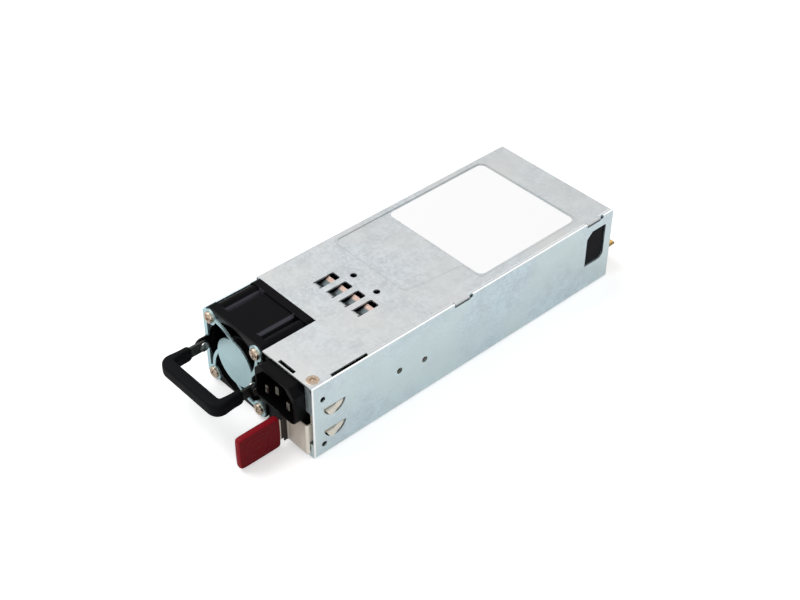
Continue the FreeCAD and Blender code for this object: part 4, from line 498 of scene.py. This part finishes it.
@dataclass(frozen=True)
class SpringStrip(Rolled):
    """The latch's strip, with brown-black painted shade beside the tab, in the gap between tab and plate.
    """

    bend: Span = (-5.0, -2.2)  # ends of the painted shade, from the front face
    bend_fade: float = 0.6  # its soft ends
    # colour of the painted shade in the gap beside the tab
    gap_shade: str = "#1E1413"

    def dress(self, tree: Tree, place: Feed) -> None:
        """The rolled lines, and the painted shade beside the tab."""
        super().dress(tree, place)
        depth = case_place(tree, place)[1]
        self.overlay(tree, within(tree, (depth, *self.bend, self.bend_fade)), self.gap_shade)


@dataclass(frozen=True)
class WoundWire(Finish):
    """Enamelled copper wire: rounded ridges a wire apart, bright on top, with painted shade between them.
    """

    metallic: float = 1.0
    tone: float = 0.5
    depth_mm: float = 0.3
    shown: float = 0.6
    wire_mm: float = 0.5731
    axis: str = "X"  # axis across the turns
    wander: float = 0.4  # how much the turns waver

    def dress(self, tree: Tree, place: Feed) -> None:
        """Waves one wire apart, as relief and as painted shade between the turns."""
        settings = sized(self.wire_mm / WAVE_PERIOD, bands_direction=self.axis, Distortion=self.wander)
        waves = add_node(tree, "ShaderNodeTexWave", settings, {"Vector": place}).outputs["Fac"]
        self.tint(tree, waves)
        self.relief(tree, waves, self.depth_mm, self.shown)


@dataclass(frozen=True)
class CircuitBoard(Finish):
    """Glass-fibre laminate under solder mask: a fine weave, and copper as lighter areas."""

    tone: float = 0.35
    shown: float = 0.2
    weave_mm: float = 0.6  # pitch of the glass weave
    track_mm: float = 3.5  # width of the copper areas
    bare: float = 0.45  # share of the board without them

    def dress(self, tree: Tree, place: Feed) -> None:
        """Square cells for copper areas, a checker for the weave."""
        tracks = add_node(tree, CELLS, sized(self.track_mm, distance="CHEBYCHEV"), {"Vector": place})
        parts = add_node(tree, "ShaderNodeSeparateColor", feeds={"Color": tracks.outputs["Color"]})
        self.tint(tree, add_node(tree, *GREATER_THAN, {0: parts, 1: self.bare}))
        weave = add_node(tree, "ShaderNodeTexChecker", sized(self.weave_mm), {"Vector": place})
        self.relief(tree, weave.outputs["Fac"], self.depth_mm, self.shown)


@dataclass(frozen=True)
class CoatedStock(Finish):
    """Coated matt label stock, almost even, with a faint tooth."""

    tone: float = 0.01
    depth_mm: float = 0.003
    shown: float = 0.1
    fibre_mm: float = 0.5

    def dress(self, tree: Tree, place: Feed) -> None:
        """A very faint fibre pattern in tone and relief."""
        fibre = add_node(tree, NOISE, sized(self.fibre_mm, Detail=4.0), {"Vector": place})
        self.tint(tree, fibre)
        self.relief(tree, fibre, self.depth_mm, self.shown)


# Finishes by the frame's nodes that wear them, with what each gives the eye.
WORN: dict[str, Finish] = {
    # Frosty blue-grey, with a white painted highlight along its edges.
    "chassis_tray rear_panel": FoldedTray(
        "galvanised_steel_tray", "#D8E7EE", 0.42, tone=0.22, drift="#D6E4E5"
    ),
    # The same in a more neutral grey.
    "top_cover": PressedCover("galvanised_steel_cover", "#C9CED1", 0.46, tone=0.19, drift="#C9CAC9"),
    # The bluest and smoothest sheet.
    "fan_guard": ZincSheet("galvanised_steel_guard", "#BDDBE0", 0.40),
    # Warm bright plating with turned lines.
    "cover_screw fan_screws board_screws": Rolled(
        "nickel_plated_screw", "#C6B3A0", 0.24, line_mm=0.2, stretch=ALONG_X
    ),
    # Clean matt white.
    "rating_label": CoatedStock("blank_label_stock", "#FCFCFC", 0.55),
    # Smooth deep black, weak sheen.
    "window_film": Moulded(
        "black_insulating_film", "#0C0B10", 0.42, specular=0.05, grain_mm=0.5, depth_mm=0.008
    ),
    # Nearly black, with two grey painted highlights on the bevels.
    "fan_frame": FanMoulding("moulded_fan_frame_black", "#060609", 0.40, specular=0.05),
    # A lighter black than the frame's.
    "fan_impeller": Moulded("moulded_fan_blades_black", "#101014", 0.46, specular=0.1),
    # Dull dark grey.
    "rotor_magnet": Moulded("bonded_ferrite_magnet", "#2B2A2B", 0.6, specular=0.3),
    # Plain bright grey with fine lines.
    "fan_shaft handle_rivets": Rolled("ground_bare_steel", "#B5B2AE", 0.28, line_mm=0.25),
    # Dull yellow-brown, open pores.
    "fan_bearings": Moulded("sintered_bronze", "#A67C4A", 0.5, metallic=1.0, grain_mm=0.3),
    # Grey with the sheets' edges as lines.
    "fan_stator": Rolled("stacked_lamination_steel", "#8C8D90", 0.5, line_mm=0.5, stretch=ALONG_X),
    # Fine red-brown ridges.
    "fan_coils": WoundWire(
        "enamelled_copper_fan_coils", "#B4622E", 0.32, wire_mm=0.2229, depth_mm=0.1167, axis="Y"
    ),
    # Red-brown ridges, warm in the cover's windows.
    "filter_choke_winding pfc_choke_winding resonant_winding": WoundWire(
        "enamelled_copper_wire", "#B4622E", 0.32
    ),
    # Black with a faint orange-peel sheen.
    "handle_bracket": Moulded("black_powder_coated_steel", "#0E0E10", 0.36, specular=0.12, grain_mm=0.4),
    # Dark steel with a greenish grey glint.
    "handle_strap": Moulded(
        "dark_oxide_coated_strap", "#4A4C49", 0.34, metallic=0.85, specular=0.2, grain_mm=0.4, depth_mm=0.01
    ),
    # Matt blue-black that swallows highlights.
    "handle_grip": Moulded(
        "soft_grip_elastomer", "#0B0C0F", 0.6, specular=0.07, grain_mm=0.35, depth_mm=0.03
    ),
    # Deep black with narrow highlights.
    "inlet_housing": Moulded("moulded_inlet_black", "#08080A", 0.38, specular=0.06),
    # Grey blades, darkened by painted shade of the socket.
    "inlet_pins": Rolled("shaded_nickel_plated_brass_pin", "#625E57", 0.3),
    # Warm, nearly white strip, with brown-black painted shade beside the tab.
    "latch_spring latch_anchor": SpringStrip(
        "stainless_spring_strip", "#F6EEE0", 0.36, metallic=0.2, stretch=ALONG_Z
    ),
    # Deep red, with painted light on the upper and front edges.
    "latch_tab": ThumbPlastic(
        "moulded_red_tab", "#6A0813", 0.40, specular=0.08, grain_mm=0.4, depth_mm=0.012
    ),
    # Green mask with lighter copper areas.
    "inlet_board main_board control_board": CircuitBoard("green_circuit_board", "#1E5A38", 0.34),
    # Tan laminate without a mask.
    "card_board": CircuitBoard("bare_glass_fibre_card", "#B8935A", 0.4),
    # Deep yellow mirror of thin plating.
    "gold_contacts": Rolled("hard_gold_plate", "#F2C26C", 0.26),
    # Yellow bar with tool marks.
    "board_standoffs": Rolled("turned_brass", "#C2A262", 0.3, line_mm=0.25, stretch=ALONG_Z),
    # Even dark grey without a sheen.
    "transformer_core resonant_core": Moulded(
        "pressed_ferrite", "#2C2D2F", 0.62, specular=0.3, grain_mm=0.4
    ),
    # Glossy green paint over a ring.
    "filter_choke_core pfc_choke_core": Moulded("epoxy_coated_core", "#2C5A3A", 0.34, grain_mm=0.6),
    # Plain mid grey.
    "filter_choke_base inrush_relay pfc_choke_base": Moulded("moulded_grey_case", "#74777A", 0.45),
    # Clear yellow, slightly glossy.
    "suppression_capacitor": Moulded("moulded_yellow_case", "#C9A834", 0.4),
    # Glossy rippled blue.
    "earth_capacitors": Moulded("dipped_blue_epoxy", "#2C5C9E", 0.3, grain_mm=1.2),
    # Chalky off-white.
    "mains_fuse": Moulded("fired_ceramic_tube", "#DCD7CC", 0.5, grain_mm=0.5),
    # Matt charcoal of filled resin.
    "bridge_rectifier power_switches control_chips": Moulded(
        "moulded_dark_epoxy", "#202124", 0.5, specular=0.3
    ),
    # Glossy blue-black film.
    "bulk_capacitor output_capacitors": Moulded("shrunk_dark_sleeve", "#20243A", 0.28, grain_mm=2.0),
    # Lumpy white beads.
    "bulk_saddles": Moulded("cured_white_silicone", "#E4E3DE", 0.5, grain_mm=1.5, depth_mm=0.1),
    # Pale grey with lines of the die.
    "primary_heatsink output_heatsink": Rolled("extruded_aluminium", "#C4C6C9", 0.4),
    # Glossy creased amber.
    "transformer_winding": Moulded("yellow_polyester_tape", "#CDAA3A", 0.3, grain_mm=1.5),
    # Bare red-brown.
    "output_busbars": Rolled("rolled_copper_bar", "#C47A50", 0.35),
}
NODE_FINISHES = {node: finish for nodes, finish in WORN.items() for node in nodes.split()}


# Surfaces


@dataclass
class Surface:
    """Points in millimetres and the four-cornered faces between them."""

    points: np.ndarray  # one row each
    faces: np.ndarray  # four corner numbers each

    def __add__(self, other: "Surface") -> "Surface":
        """Both surfaces as one."""
        faces = np.vstack([self.faces, other.faces + len(self.points)])
        return Surface(np.vstack([self.points, other.points]), faces)


def net(points: np.ndarray, wrap: bool = False) -> Surface:
    """Surface over a grid of points, with one face between neighbours.

    Args:
        points: Array of rows, columns and coordinates.
        wrap: Whether the last column joins the first.

    Returns:
        The surface.
    """
    rows, columns = points.shape[:2]
    number = np.arange(rows * columns).reshape(rows, columns)
    if wrap:
        number = np.hstack([number, number[:, :1]])
    faces = np.stack([number[:-1, :-1], number[1:, :-1], number[1:, 1:], number[:-1, 1:]], axis=-1)
    return Surface(points.reshape(-1, 3), faces.reshape(-1, 4))


def circle(count: int) -> np.ndarray:
    """Angles of points evenly round a circle."""
    return np.linspace(0, 2 * np.pi, count, endpoint=False)


def superellipse(power: float, count: int) -> np.ndarray:
    """Closed rounded square from -1 to 1: |x|^n + |y|^n = 1, by the angle of a circle.

    Args:
        power: Its squareness, n.
        count: Number of points.

    Returns:
        Array of pairs.
    """
    cosine, sine = np.cos(circle(count)), np.sin(circle(count))
    reach = (np.abs(cosine) ** power + np.abs(sine) ** power) ** (-1 / power)
    return np.stack([cosine * reach, sine * reach], axis=1)


def smooth_step(value: np.ndarray) -> np.ndarray:
    """Rises from 0 to 1 with level ends: 3t^2 - 2t^3 on a clipped t."""
    t = np.clip(value, 0, 1)
    return t * t * (3 - 2 * t)


class Facing(Enum):
    """Direction in which the height of a turned surface grows."""

    FORWARD = "-Y"
    UP = "+Z"


def lathe(radius: np.ndarray, height: np.ndarray, count: int, centre: Point, facing: Facing) -> Surface:
    """Turns a profile round an axis: a radius and a height become a ring of points.

    Args:
        radius: Column of radii, from pole to pole.
        height: Column of heights, or a height for each radius and angle.
        count: Number of points round a ring.
        centre: Where the axis has height zero.
        facing: Direction of height.

    Returns:
        The closed surface.
    """
    angle = circle(count)
    u, v, w = radius * np.cos(angle), radius * np.sin(angle), height + 0 * angle
    order = (u, -w, v) if facing is Facing.FORWARD else (u, v, w)
    return net(np.stack(order, axis=-1) + np.array(centre), wrap=True)


def add_object(name: str, data: bpy.types.ID) -> bpy.types.Object:
    """Puts a new object with its data into the scene."""
    made = bpy.data.objects.new(name, data)
    bpy.context.scene.collection.objects.link(made)
    return made


def add_piece(
    name: str, surface: Surface, body: str, stands_for: tuple[str, ...], crease: float
) -> None:
    """Makes a piece in the finish of the node that it stands for, and hands it to the frame.

    Args:
        name: Its name.
        surface: Its surface in millimetres.
        body: The body that it rides on.
        stands_for: Frame nodes that it replaces.
        crease: Angle above which edges stay sharp.
    """
    mesh = bpy.data.meshes.new(name)
    mesh.from_pydata((surface.points * MM).tolist(), [], surface.faces.tolist())
    made = bmesh.new()
    made.from_mesh(mesh)
    bmesh.ops.remove_doubles(made, verts=made.verts, dist=WELD)
    bmesh.ops.dissolve_degenerate(made, edges=made.edges, dist=COLLAPSE)
    bmesh.ops.recalc_face_normals(made, faces=made.faces)
    made.to_mesh(mesh)
    made.free()
    mesh.shade_smooth()
    mesh.set_sharp_from_angle(angle=crease)
    mesh.materials.append(NODE_FINISHES[stands_for[0]].build())
    piece = add_object(name, mesh)
    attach(piece, body)
    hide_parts(*stands_for)
    LOG.info("%s: %d faces on %s", name, len(mesh.polygons), body)


# Sub-assemblies


class Drive(Enum):
    """Shape of the pocket in a screw's head."""

    CROSS = "cross"
    STAR = "star"


@dataclass
class HeadedScrew:
    """A screw's head with its drive pocket and its shank, as one turned surface."""

    drive: Drive
    head_radius: float
    rim: tuple[Span, ...]  # share of the radius, and height, of each ring round the head's edge
    shank_radius: float
    shank_length: float
    crown: float = 0.0  # height of the head over its seat
    sink: float = 0.0  # depth of its cone below the seat
    around: int = 96  # points round a ring
    rings: int = 30  # rings over the head

    def pocket(self, radius: np.ndarray, angle: np.ndarray) -> np.ndarray:
        """Depth of the drive's pocket.

        The cross is two bars, each the larger of the shares of its half length and half width.
        The star's rim is a circle that swells and shrinks six times.

        Args:
            radius: Distance from the middle, as a share of the head's radius.
            angle: Angle round the head.

        Returns:
            Depth in millimetres.
        """
        if self.drive is Drive.CROSS:
            half_length, half_width, depth = 0.62, 0.16, 0.75
            flank, flank_start = 0.3, 1.12
            x, y = np.abs(radius * np.cos(angle)), np.abs(radius * np.sin(angle))
            bars = [np.maximum(a / half_length, b / half_width) for a, b in ((x, y), (y, x))]
            return depth * smooth_step((flank_start - np.minimum(*bars)) / flank)
        mean, swell, lobes, depth, flank = 0.46, 0.09, 6, 0.7, 0.07
        rim = mean + swell * np.cos(lobes * angle)
        return depth * smooth_step((rim - radius) / flank + 0.5)

    def surface(self, seat: Point, facing: Facing, turn: float) -> Surface:
        """The whole screw: a dome less the pocket, its rim, cone or seat, and shank.

        Args:
            seat: Point on the axis at the head's seat, or at its flat top.
            facing: Direction in which the head faces.
            turn: Angle of the pocket.

        Returns:
            The closed surface.
        """
        disc, doming = 0.93, 0.34
        share = np.linspace(0, disc, self.rings)[:, None]
        top = self.crown * (1 - doming * share**2) - self.pocket(share, circle(self.around) + turn)
        foot = -self.sink - self.shank_length
        edge = [(self.head_radius * part, height) for part, height in self.rim]
        side = np.array([*edge, (self.shank_radius, -self.sink), (self.shank_radius, foot), (0, foot)])
        radius = np.vstack([share * self.head_radius, side[:, :1]])
        height = np.vstack([top, np.repeat(side[:, 1:], self.around, axis=1)])
        return lathe(radius, height, self.around, seat, facing)


@dataclass
class CoverHardware:
    """The countersunk screw at the front right of the cover."""

    across: float = 32.0
    depth: float = 4.2  # behind the front face
    turn: float = 0.3  # angle of its pocket

    def build(self) -> None:
        """Makes the screw with its star pocket."""
        rim = ((0.97, -0.03), (1.0, -0.10))
        screw = HeadedScrew(Drive.STAR, 2.95, rim, shank_radius=1.5, shank_length=4.5, sink=1.45)
        surface = screw.surface((self.across, FRONT + self.depth, CASE_TOP), Facing.UP, self.turn)
        add_piece("cover_screw_star", surface, "chassis", ("cover_screw",), CRISP_CREASE)


@dataclass
class FanBlock:
    """The fan's rotor and screws."""

    centre_x: float = -15.85
    centre_z: float = 20.0
    front: float = 0.8  # the frame's front behind the case's front face
    hub_radius: float = 10.6
    hub_start: float = 3.2  # the hub's front behind the frame's
    hub_length: float = 16.5
    hub_wall: float = 0.9
    hub_rim: float = 1.2  # rounding of its front edge
    dish_radius: float = 4.6  # shallow dish in its front
    dish_side: float = 0.3  # width of its slope
    dish_depth: float = 0.25
    tip_radius: float = 18.4
    blades: int = 7
    blade_length: float = 13.5  # along the axis
    blade_sink: float = 0.4  # how deep its root lies in the hub
    sweep: float = 46.0  # degrees that it turns through along the axis
    screw_step: float = 16.0  # half the distance between the screws
    guard_sheet: float = 0.8  # thickness of the guard under their heads

    def hub(self) -> Surface:
        """Cup of the hub: a profile of radius and depth, with a round rim, turned about the axis."""
        corner_steps, around = 8, 72
        start = self.front + self.hub_start
        dish, rear, inside = start + self.dish_depth, start + self.hub_length, start + self.hub_wall
        inner = self.hub_radius - self.hub_wall
        corner = np.linspace(0, np.pi / 2, corner_steps)
        rim_radius = self.hub_radius - self.hub_rim * (1 - np.sin(corner))
        rim_depth = start + self.hub_rim * (1 - np.cos(corner))
        front = [[0, dish], [self.dish_radius, dish], [self.dish_radius + self.dish_side, start]]
        back = [[self.hub_radius, rear], [inner, rear], [inner, inside], [0, inside]]
        profile = np.vstack([front, np.stack([rim_radius, rim_depth], axis=1), back])
        centre = (self.centre_x, 0, self.centre_z)
        return lathe(profile[:, :1], -(profile[:, 1:] + FRONT), around, centre, Facing.FORWARD)

    def blade(self, turn: float) -> Surface:
        """One blade: an aerofoil loop of chord and thickness, carried from hub to tip.

        Along the chord the depth runs to the rear while the angle falls by the sweep, with a half
        sine that cups it. The thickness follows a half sine skewed to the front.

        Args:
            turn: Angle of the blade round the axis.

        Returns:
            Its closed surface.
        """
        untwist, cup, rake = 0.25, 0.22, 0.12
        belly, skew, root_share, thinning, edge = 0.55, 0.8, 1.15, 0.45, 0.06
        chord_count, span_count = 18, 10
        chord = np.linspace(0, 1, chord_count)
        loop = np.concatenate([chord, chord[-2:0:-1]])
        side = np.concatenate([np.ones(chord_count), -np.ones(chord_count - 2)])
        span = np.linspace(0, 1, span_count)[:, None]
        root = self.hub_radius - self.blade_sink
        radius = root + (self.tip_radius - root) * span
        twist = math.radians(self.sweep) * (0.5 - loop) * (1 - untwist * span)
        lean = twist + cup * np.sin(np.pi * loop) + rake * span
        thick = belly * np.sin(np.pi * loop**skew) * (root_share - thinning * span) + edge
        angle = turn + lean + side * thick / radius
        depth = self.front + self.hub_start + self.hub_rim + self.blade_length * loop + 0 * span
        x, z = self.centre_x + radius * np.sin(angle), self.centre_z + radius * np.cos(angle)
        points = np.stack([x, FRONT + depth, z], axis=-1)
        far_side = [0, *range(len(loop) - 1, chord_count - 1, -1), chord_count - 1]
        ends = [net(np.stack([ring[:chord_count], ring[far_side]])) for ring in (points[0], points[-1])]
        return net(points, wrap=True) + ends[0] + ends[1]

    def build(self) -> None:
        """Makes the rotor and the four pan-head screws."""
        rotor = self.hub()
        for turn in circle(self.blades):
            rotor += self.blade(turn)
        add_piece("fan_rotor", rotor, "rotor", ("fan_impeller",), SOFT_CREASE)
        rim = ((0.97, 0.952), (1.0, 0.68), (1.0, 0.0))
        screw = HeadedScrew(Drive.CROSS, 2.8, rim, shank_radius=1.6, shank_length=5.8, crown=1.7)
        first_turn, turn_step = 0.5, 0.7
        heads = []
        for index, (side, level) in enumerate(((-1, -1), (-1, 1), (1, -1), (1, 1))):
            x, z = self.centre_x + side * self.screw_step, self.centre_z + level * self.screw_step
            turn = first_turn + turn_step * index
            heads.append(screw.surface((x, FRONT - self.guard_sheet, z), Facing.FORWARD, turn))
        surface = sum(heads[1:], heads[0])
        add_piece("fan_screw_heads", surface, "chassis", ("fan_screws",), CRISP_CREASE)


@dataclass
class PullHandle:
    """The soft grip over the front of the folding handle."""

    centre_x: float = -15.85
    centre_z: float = 20.0
    half_span: float = 18.3  # from its middle to the middle of an arm
    arm_half: float = 1.7  # half its thickness on the arms
    bar_half: float = 3.0  # half its thickness on the bar
    half_height: float = 3.5
    front: float = -26.8  # its front face, from the case's front face
    arm_length: float = 15.5
    bend: float = 3.6  # radius of its middle line in the corners
    corner: float = 0.35  # how far the outer corners stand out past it
    thin_share: float = 0.4  # share of an arm before it thickens
    squareness: float = 4.6  # power of its section
    end_steps: float = 5.0  # steps of the line that round the ends off
    end_loss: float = 0.32  # share of the area lost there

    def middle_line(self, count: int) -> tuple[np.ndarray, np.ndarray, np.ndarray]:
        """Middle line of the U in plan: straight arm, quarter circle, straight bar, and back.

        Args:
            count: Number of points.

        Returns:
            Points as pairs, and for each its share of the bar and of the middle of a corner.
        """
        arm = self.arm_length - self.bar_half - self.bend
        turn = self.bend * np.pi / 2
        total = arm + turn + self.half_span - self.bend
        way = np.linspace(-total, total, count)
        along = total - np.abs(way)
        on_turn = np.clip((along - arm) / turn, 0, 1) * np.pi / 2
        x = self.half_span - self.bend * (1 - np.cos(on_turn)) - np.clip(along - arm - turn, 0, None)
        y = self.front + self.bar_half + self.bend * (1 - np.sin(on_turn)) + np.clip(arm - along, 0, None)
        thin = arm * self.thin_share
        on_bar = smooth_step((along - thin) / (turn + arm - thin))
        return np.stack([np.sign(way) * x, y], axis=1), on_bar, np.sin(2 * on_turn) ** 2

    def build(self) -> None:
        """Carries a rounded-box section along the middle line and rounds both ends off."""
        count, around = 161, 48
        line, on_bar, at_corner = self.middle_line(count)
        step = np.gradient(line, axis=0)
        step /= np.linalg.norm(step, axis=1, keepdims=True)
        outward = np.stack([step[:, 1], -step[:, 0]], axis=1)
        outward *= np.sign(np.sum(outward * line, axis=1, keepdims=True))
        half = self.arm_half + (self.bar_half - self.arm_half) * on_bar
        out, up = superellipse(self.squareness, around).T
        end = np.clip(np.minimum(np.arange(count), np.arange(count)[::-1]) / self.end_steps, 0, 1)
        taper = np.sqrt(1 - (1 - end) ** 2 * self.end_loss)
        across = out * (half * taper)[:, None] + np.clip(out, 0, None) * (self.corner * at_corner)[:, None]
        plan = line[:, None, :] + outward[:, None, :] * across[:, :, None]
        z = self.centre_z + up * (self.half_height * taper)[:, None]
        points = np.stack([self.centre_x + plan[..., 0], FRONT + plan[..., 1], z], axis=-1)
        grip = net(points, wrap=True)
        for ring in (points[0], points[-1]):
            grip += net(np.stack([ring, np.broadcast_to(ring.mean(axis=0), ring.shape)]), wrap=True)
        add_piece("handle_soft_grip", grip, "handle", ("handle_grip",), CRISP_CREASE)


@dataclass
class ReleaseTab:
    """The red thumb tab of the latch, a flat moulding with raised rings on both faces."""

    right: float = 22.1  # its right face across the case
    thickness: float = 3.6  # over the rings
    start: float = -28.0  # its front end, from the case's front face
    length: float = 22.0
    low: float = 1.0
    high: float = 18.2
    edge: float = 0.75
    outline_power: float = 14.0
    ring_power: float = 3.5
    ring_height: float = 0.16  # over the face between them
    ring_margin: Span = (3.6, 1.7)  # from the ends and sides to where the distance is one
    ring_forward: float = 1.4  # their middle in front of the tab's
    rings: Span = (0.86, 0.52)  # distances at which they run
    ring_half: float = 0.09  # half their width
    ring_slope: float = 1.4  # steepness of their sides
    boss: float = 0.22  # distance within which the middle is raised
    boss_slope: float = 0.08  # width of the boss's side

    def build(self) -> None:
        """One closed surface in rings from the middle of one face, over the edge, to the other.

        The distance from the middle runs 0 to 1 on the right face, round the edge on a half circle
        and back on the left. The rings are smooth bumps at two oval distances.
        """
        around, face_steps, edge_steps, flat = 144, 56, 11, 0.999
        half_y, half_z = self.length / 2, (self.high - self.low) / 2
        outline = superellipse(self.outline_power, around)
        face = np.linspace(0, 1, face_steps)
        turn = np.linspace(0, np.pi, edge_steps)[1:-1]
        reach = np.concatenate([face, 1 + 0 * turn, face[::-1]])[:, None]
        grow = self.edge * np.concatenate([0 * face, np.sin(turn), 0 * face])[:, None]
        side = np.concatenate([0 * face + 1, np.cos(turn), 0 * face - 1])[:, None]
        unit = outline / np.linalg.norm(outline, axis=1, keepdims=True)
        y, z = (
            reach * outline[:, index] * (half - self.edge) + grow * unit[:, index]
            for index, half in enumerate((half_y, half_z))
        )
        oval_y = np.abs((y + self.ring_forward) / (half_y - self.ring_margin[0]))
        oval_z = np.abs(z / (half_z - self.ring_margin[1]))
        oval = (oval_y**self.ring_power + oval_z**self.ring_power) ** (1 / self.ring_power)
        raised = smooth_step((self.boss - oval) / self.boss_slope)
        for place in self.rings:
            raised += smooth_step((1 - np.abs(oval - place) / self.ring_half) * self.ring_slope)
        on_face = np.abs(side) > flat
        bump = self.ring_height * np.where(on_face, np.clip(raised, 0, 1), 0)
        x = side * (self.thickness / 2 - self.ring_height + bump)
        middle = (self.right - self.thickness / 2, FRONT + self.start + half_y, (self.low + self.high) / 2)
        surface = net(np.stack([x, y, z], axis=-1) + np.array(middle), wrap=True)
        add_piece("latch_thumb_tab", surface, "latch", ("latch_tab",), SOFT_CREASE)


@dataclass
class PhotoCamera:
    """Camera at the photograph's angle."""

    azimuth: float = 47.263  # degrees to the right
    elevation: float = 39.878  # degrees up
    roll: float = 0.444  # degrees
    distance: float = 650.342  # to its target
    target: Point = (0.754, -11.318, 20.0)
    focal_pixels: float = 1423.967
    image_pixels: float = 800.0
    reach: Span = (0.01, 20.0)  # nearest and farthest view, in metres

    def build(self) -> None:
        """Makes the camera and gives it to the scene."""
        turn = Matrix.Identity(3)
        for angle, axis in ((self.azimuth, "Z"), (90 - self.elevation, "X"), (self.roll, "Z")):
            turn = turn @ Matrix.Rotation(math.radians(angle), 3, axis)
        data = bpy.data.cameras.new("photo_camera")
        data.lens = self.focal_pixels * data.sensor_width / self.image_pixels
        data.clip_start, data.clip_end = self.reach
        camera = add_object("photo_camera", data)
        place = (Vector(self.target) + turn.col[2] * self.distance) * MM
        camera.matrix_world = Matrix.LocRotScale(place, turn, None)
        bpy.context.scene.camera = camera


@dataclass
class Studio:
    """Pale floor, white surroundings and soft lamps, in metres."""

    floor_half: float = 4.0
    floor_drop: float = 0.0002  # how far it lies below the base
    paper: str = "#EDEDED"  # its colour
    ambient: float = 0.5  # strength of the surroundings for diffuse light
    camera_glow: float = 0.42  # added to the floor's light for the camera
    mirror_glow: float = 0.1  # added in reflections
    lamps: dict[str, tuple[Point, float, float]] = field(  # place, size and watts of each lamp
        default_factory=lambda: {
            "key_panel": ((-0.9, -0.5, 1.5), 1.2, 16.0),
            "right_panel": ((1.3, -0.7, 0.8), 1.0, 4.0),
            "rear_panel_light": ((0.4, 1.4, 1.1), 1.0, 4.0),
        }
    )

    def by_ray(self, tree: Tree, camera: float, glossy: float) -> Node:
        """A value given for the camera and for reflections, and zero for other light.

        Args:
            tree: The node tree.
            camera: Its value for the camera and through glass.
            glossy: Its value in reflections.

        Returns:
            Its node.
        """
        path = add_node(tree, "ShaderNodeLightPath").outputs
        direct = add_node(tree, *MAXIMUM, {0: path["Is Camera Ray"], 1: path["Is Transmission Ray"]})
        straight = add_node(tree, *MULTIPLY, {0: direct, 1: camera})
        reflected = add_node(tree, *MULTIPLY, {0: path["Is Glossy Ray"], 1: glossy})
        return add_node(tree, *MAXIMUM, {0: straight, 1: reflected})

    def build(self) -> None:
        """Makes the world, the floor and the lamps."""
        world = bpy.data.worlds.new("white_surroundings")
        bpy.context.scene.world = world
        tree = fresh_tree(world)
        strength = add_node(tree, *MAXIMUM, {0: self.by_ray(tree, camera=1.0, glossy=1.0), 1: self.ambient})
        light = add_node(tree, "ShaderNodeBackground", {"Color": WHITE}, {"Strength": strength})
        add_node(tree, "ShaderNodeOutputWorld", feeds={"Surface": light})
        self.floor()
        for name, (place, size, power) in self.lamps.items():
            data = bpy.data.lights.new(name, "AREA")
            data.size = size
            data.energy = power
            aim = Vector(place).to_track_quat("Z", "Y")
            add_object(name, data).matrix_world = Matrix.LocRotScale(Vector(place), aim, None)

    def floor(self) -> None:
        """Pale floor that clips to white in the open and keeps the soft shadow."""
        material = bpy.data.materials.new("pale_floor")
        tree = fresh_tree(material)
        paper = add_node(tree, "ShaderNodeBsdfDiffuse", {"Color": srgb(self.paper)})
        seen = self.by_ray(tree, self.camera_glow, self.mirror_glow)
        glow = add_node(tree, "ShaderNodeEmission", {"Color": WHITE}, {"Strength": seen})
        both = add_node(tree, "ShaderNodeAddShader", feeds={0: paper, 1: glow})
        add_node(tree, "ShaderNodeOutputMaterial", feeds={"Surface": both})
        mesh = bpy.data.meshes.new("floor")
        half, low = self.floor_half, -self.floor_drop
        corners = [(-half, -half, low), (half, -half, low), (half, half, low), (-half, half, low)]
        mesh.from_pydata(corners, [], [(0, 1, 2, 3)])
        mesh.materials.append(material)
        floor = add_object("floor", mesh)


def dress_nodes(nodes: dict[str, bpy.types.Object]) -> None:
    """Gives each of the frame's objects, by name, its finish."""
    for name, node in nodes.items():
        node.data.materials.clear()
        node.data.materials.append(NODE_FINISHES[name].build())
        LOG.info("%s: %s", name, NODE_FINISHES[name].label)


def main() -> None:
    """Loads the frame, dresses it, adds the pieces and sets up the studio."""
    logging.basicConfig(level=logging.INFO, format="%(message)s")
    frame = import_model()
    dress_nodes(frame["nodes"])
    for assembly in (CoverHardware(), FanBlock(), PullHandle(), ReleaseTab(), Studio(), PhotoCamera()):
        assembly.build()
        LOG.info("built %s", type(assembly).__name__)
    bpy.context.scene.view_settings.view_transform = "Standard"


if __name__ == "__main__":
    main()
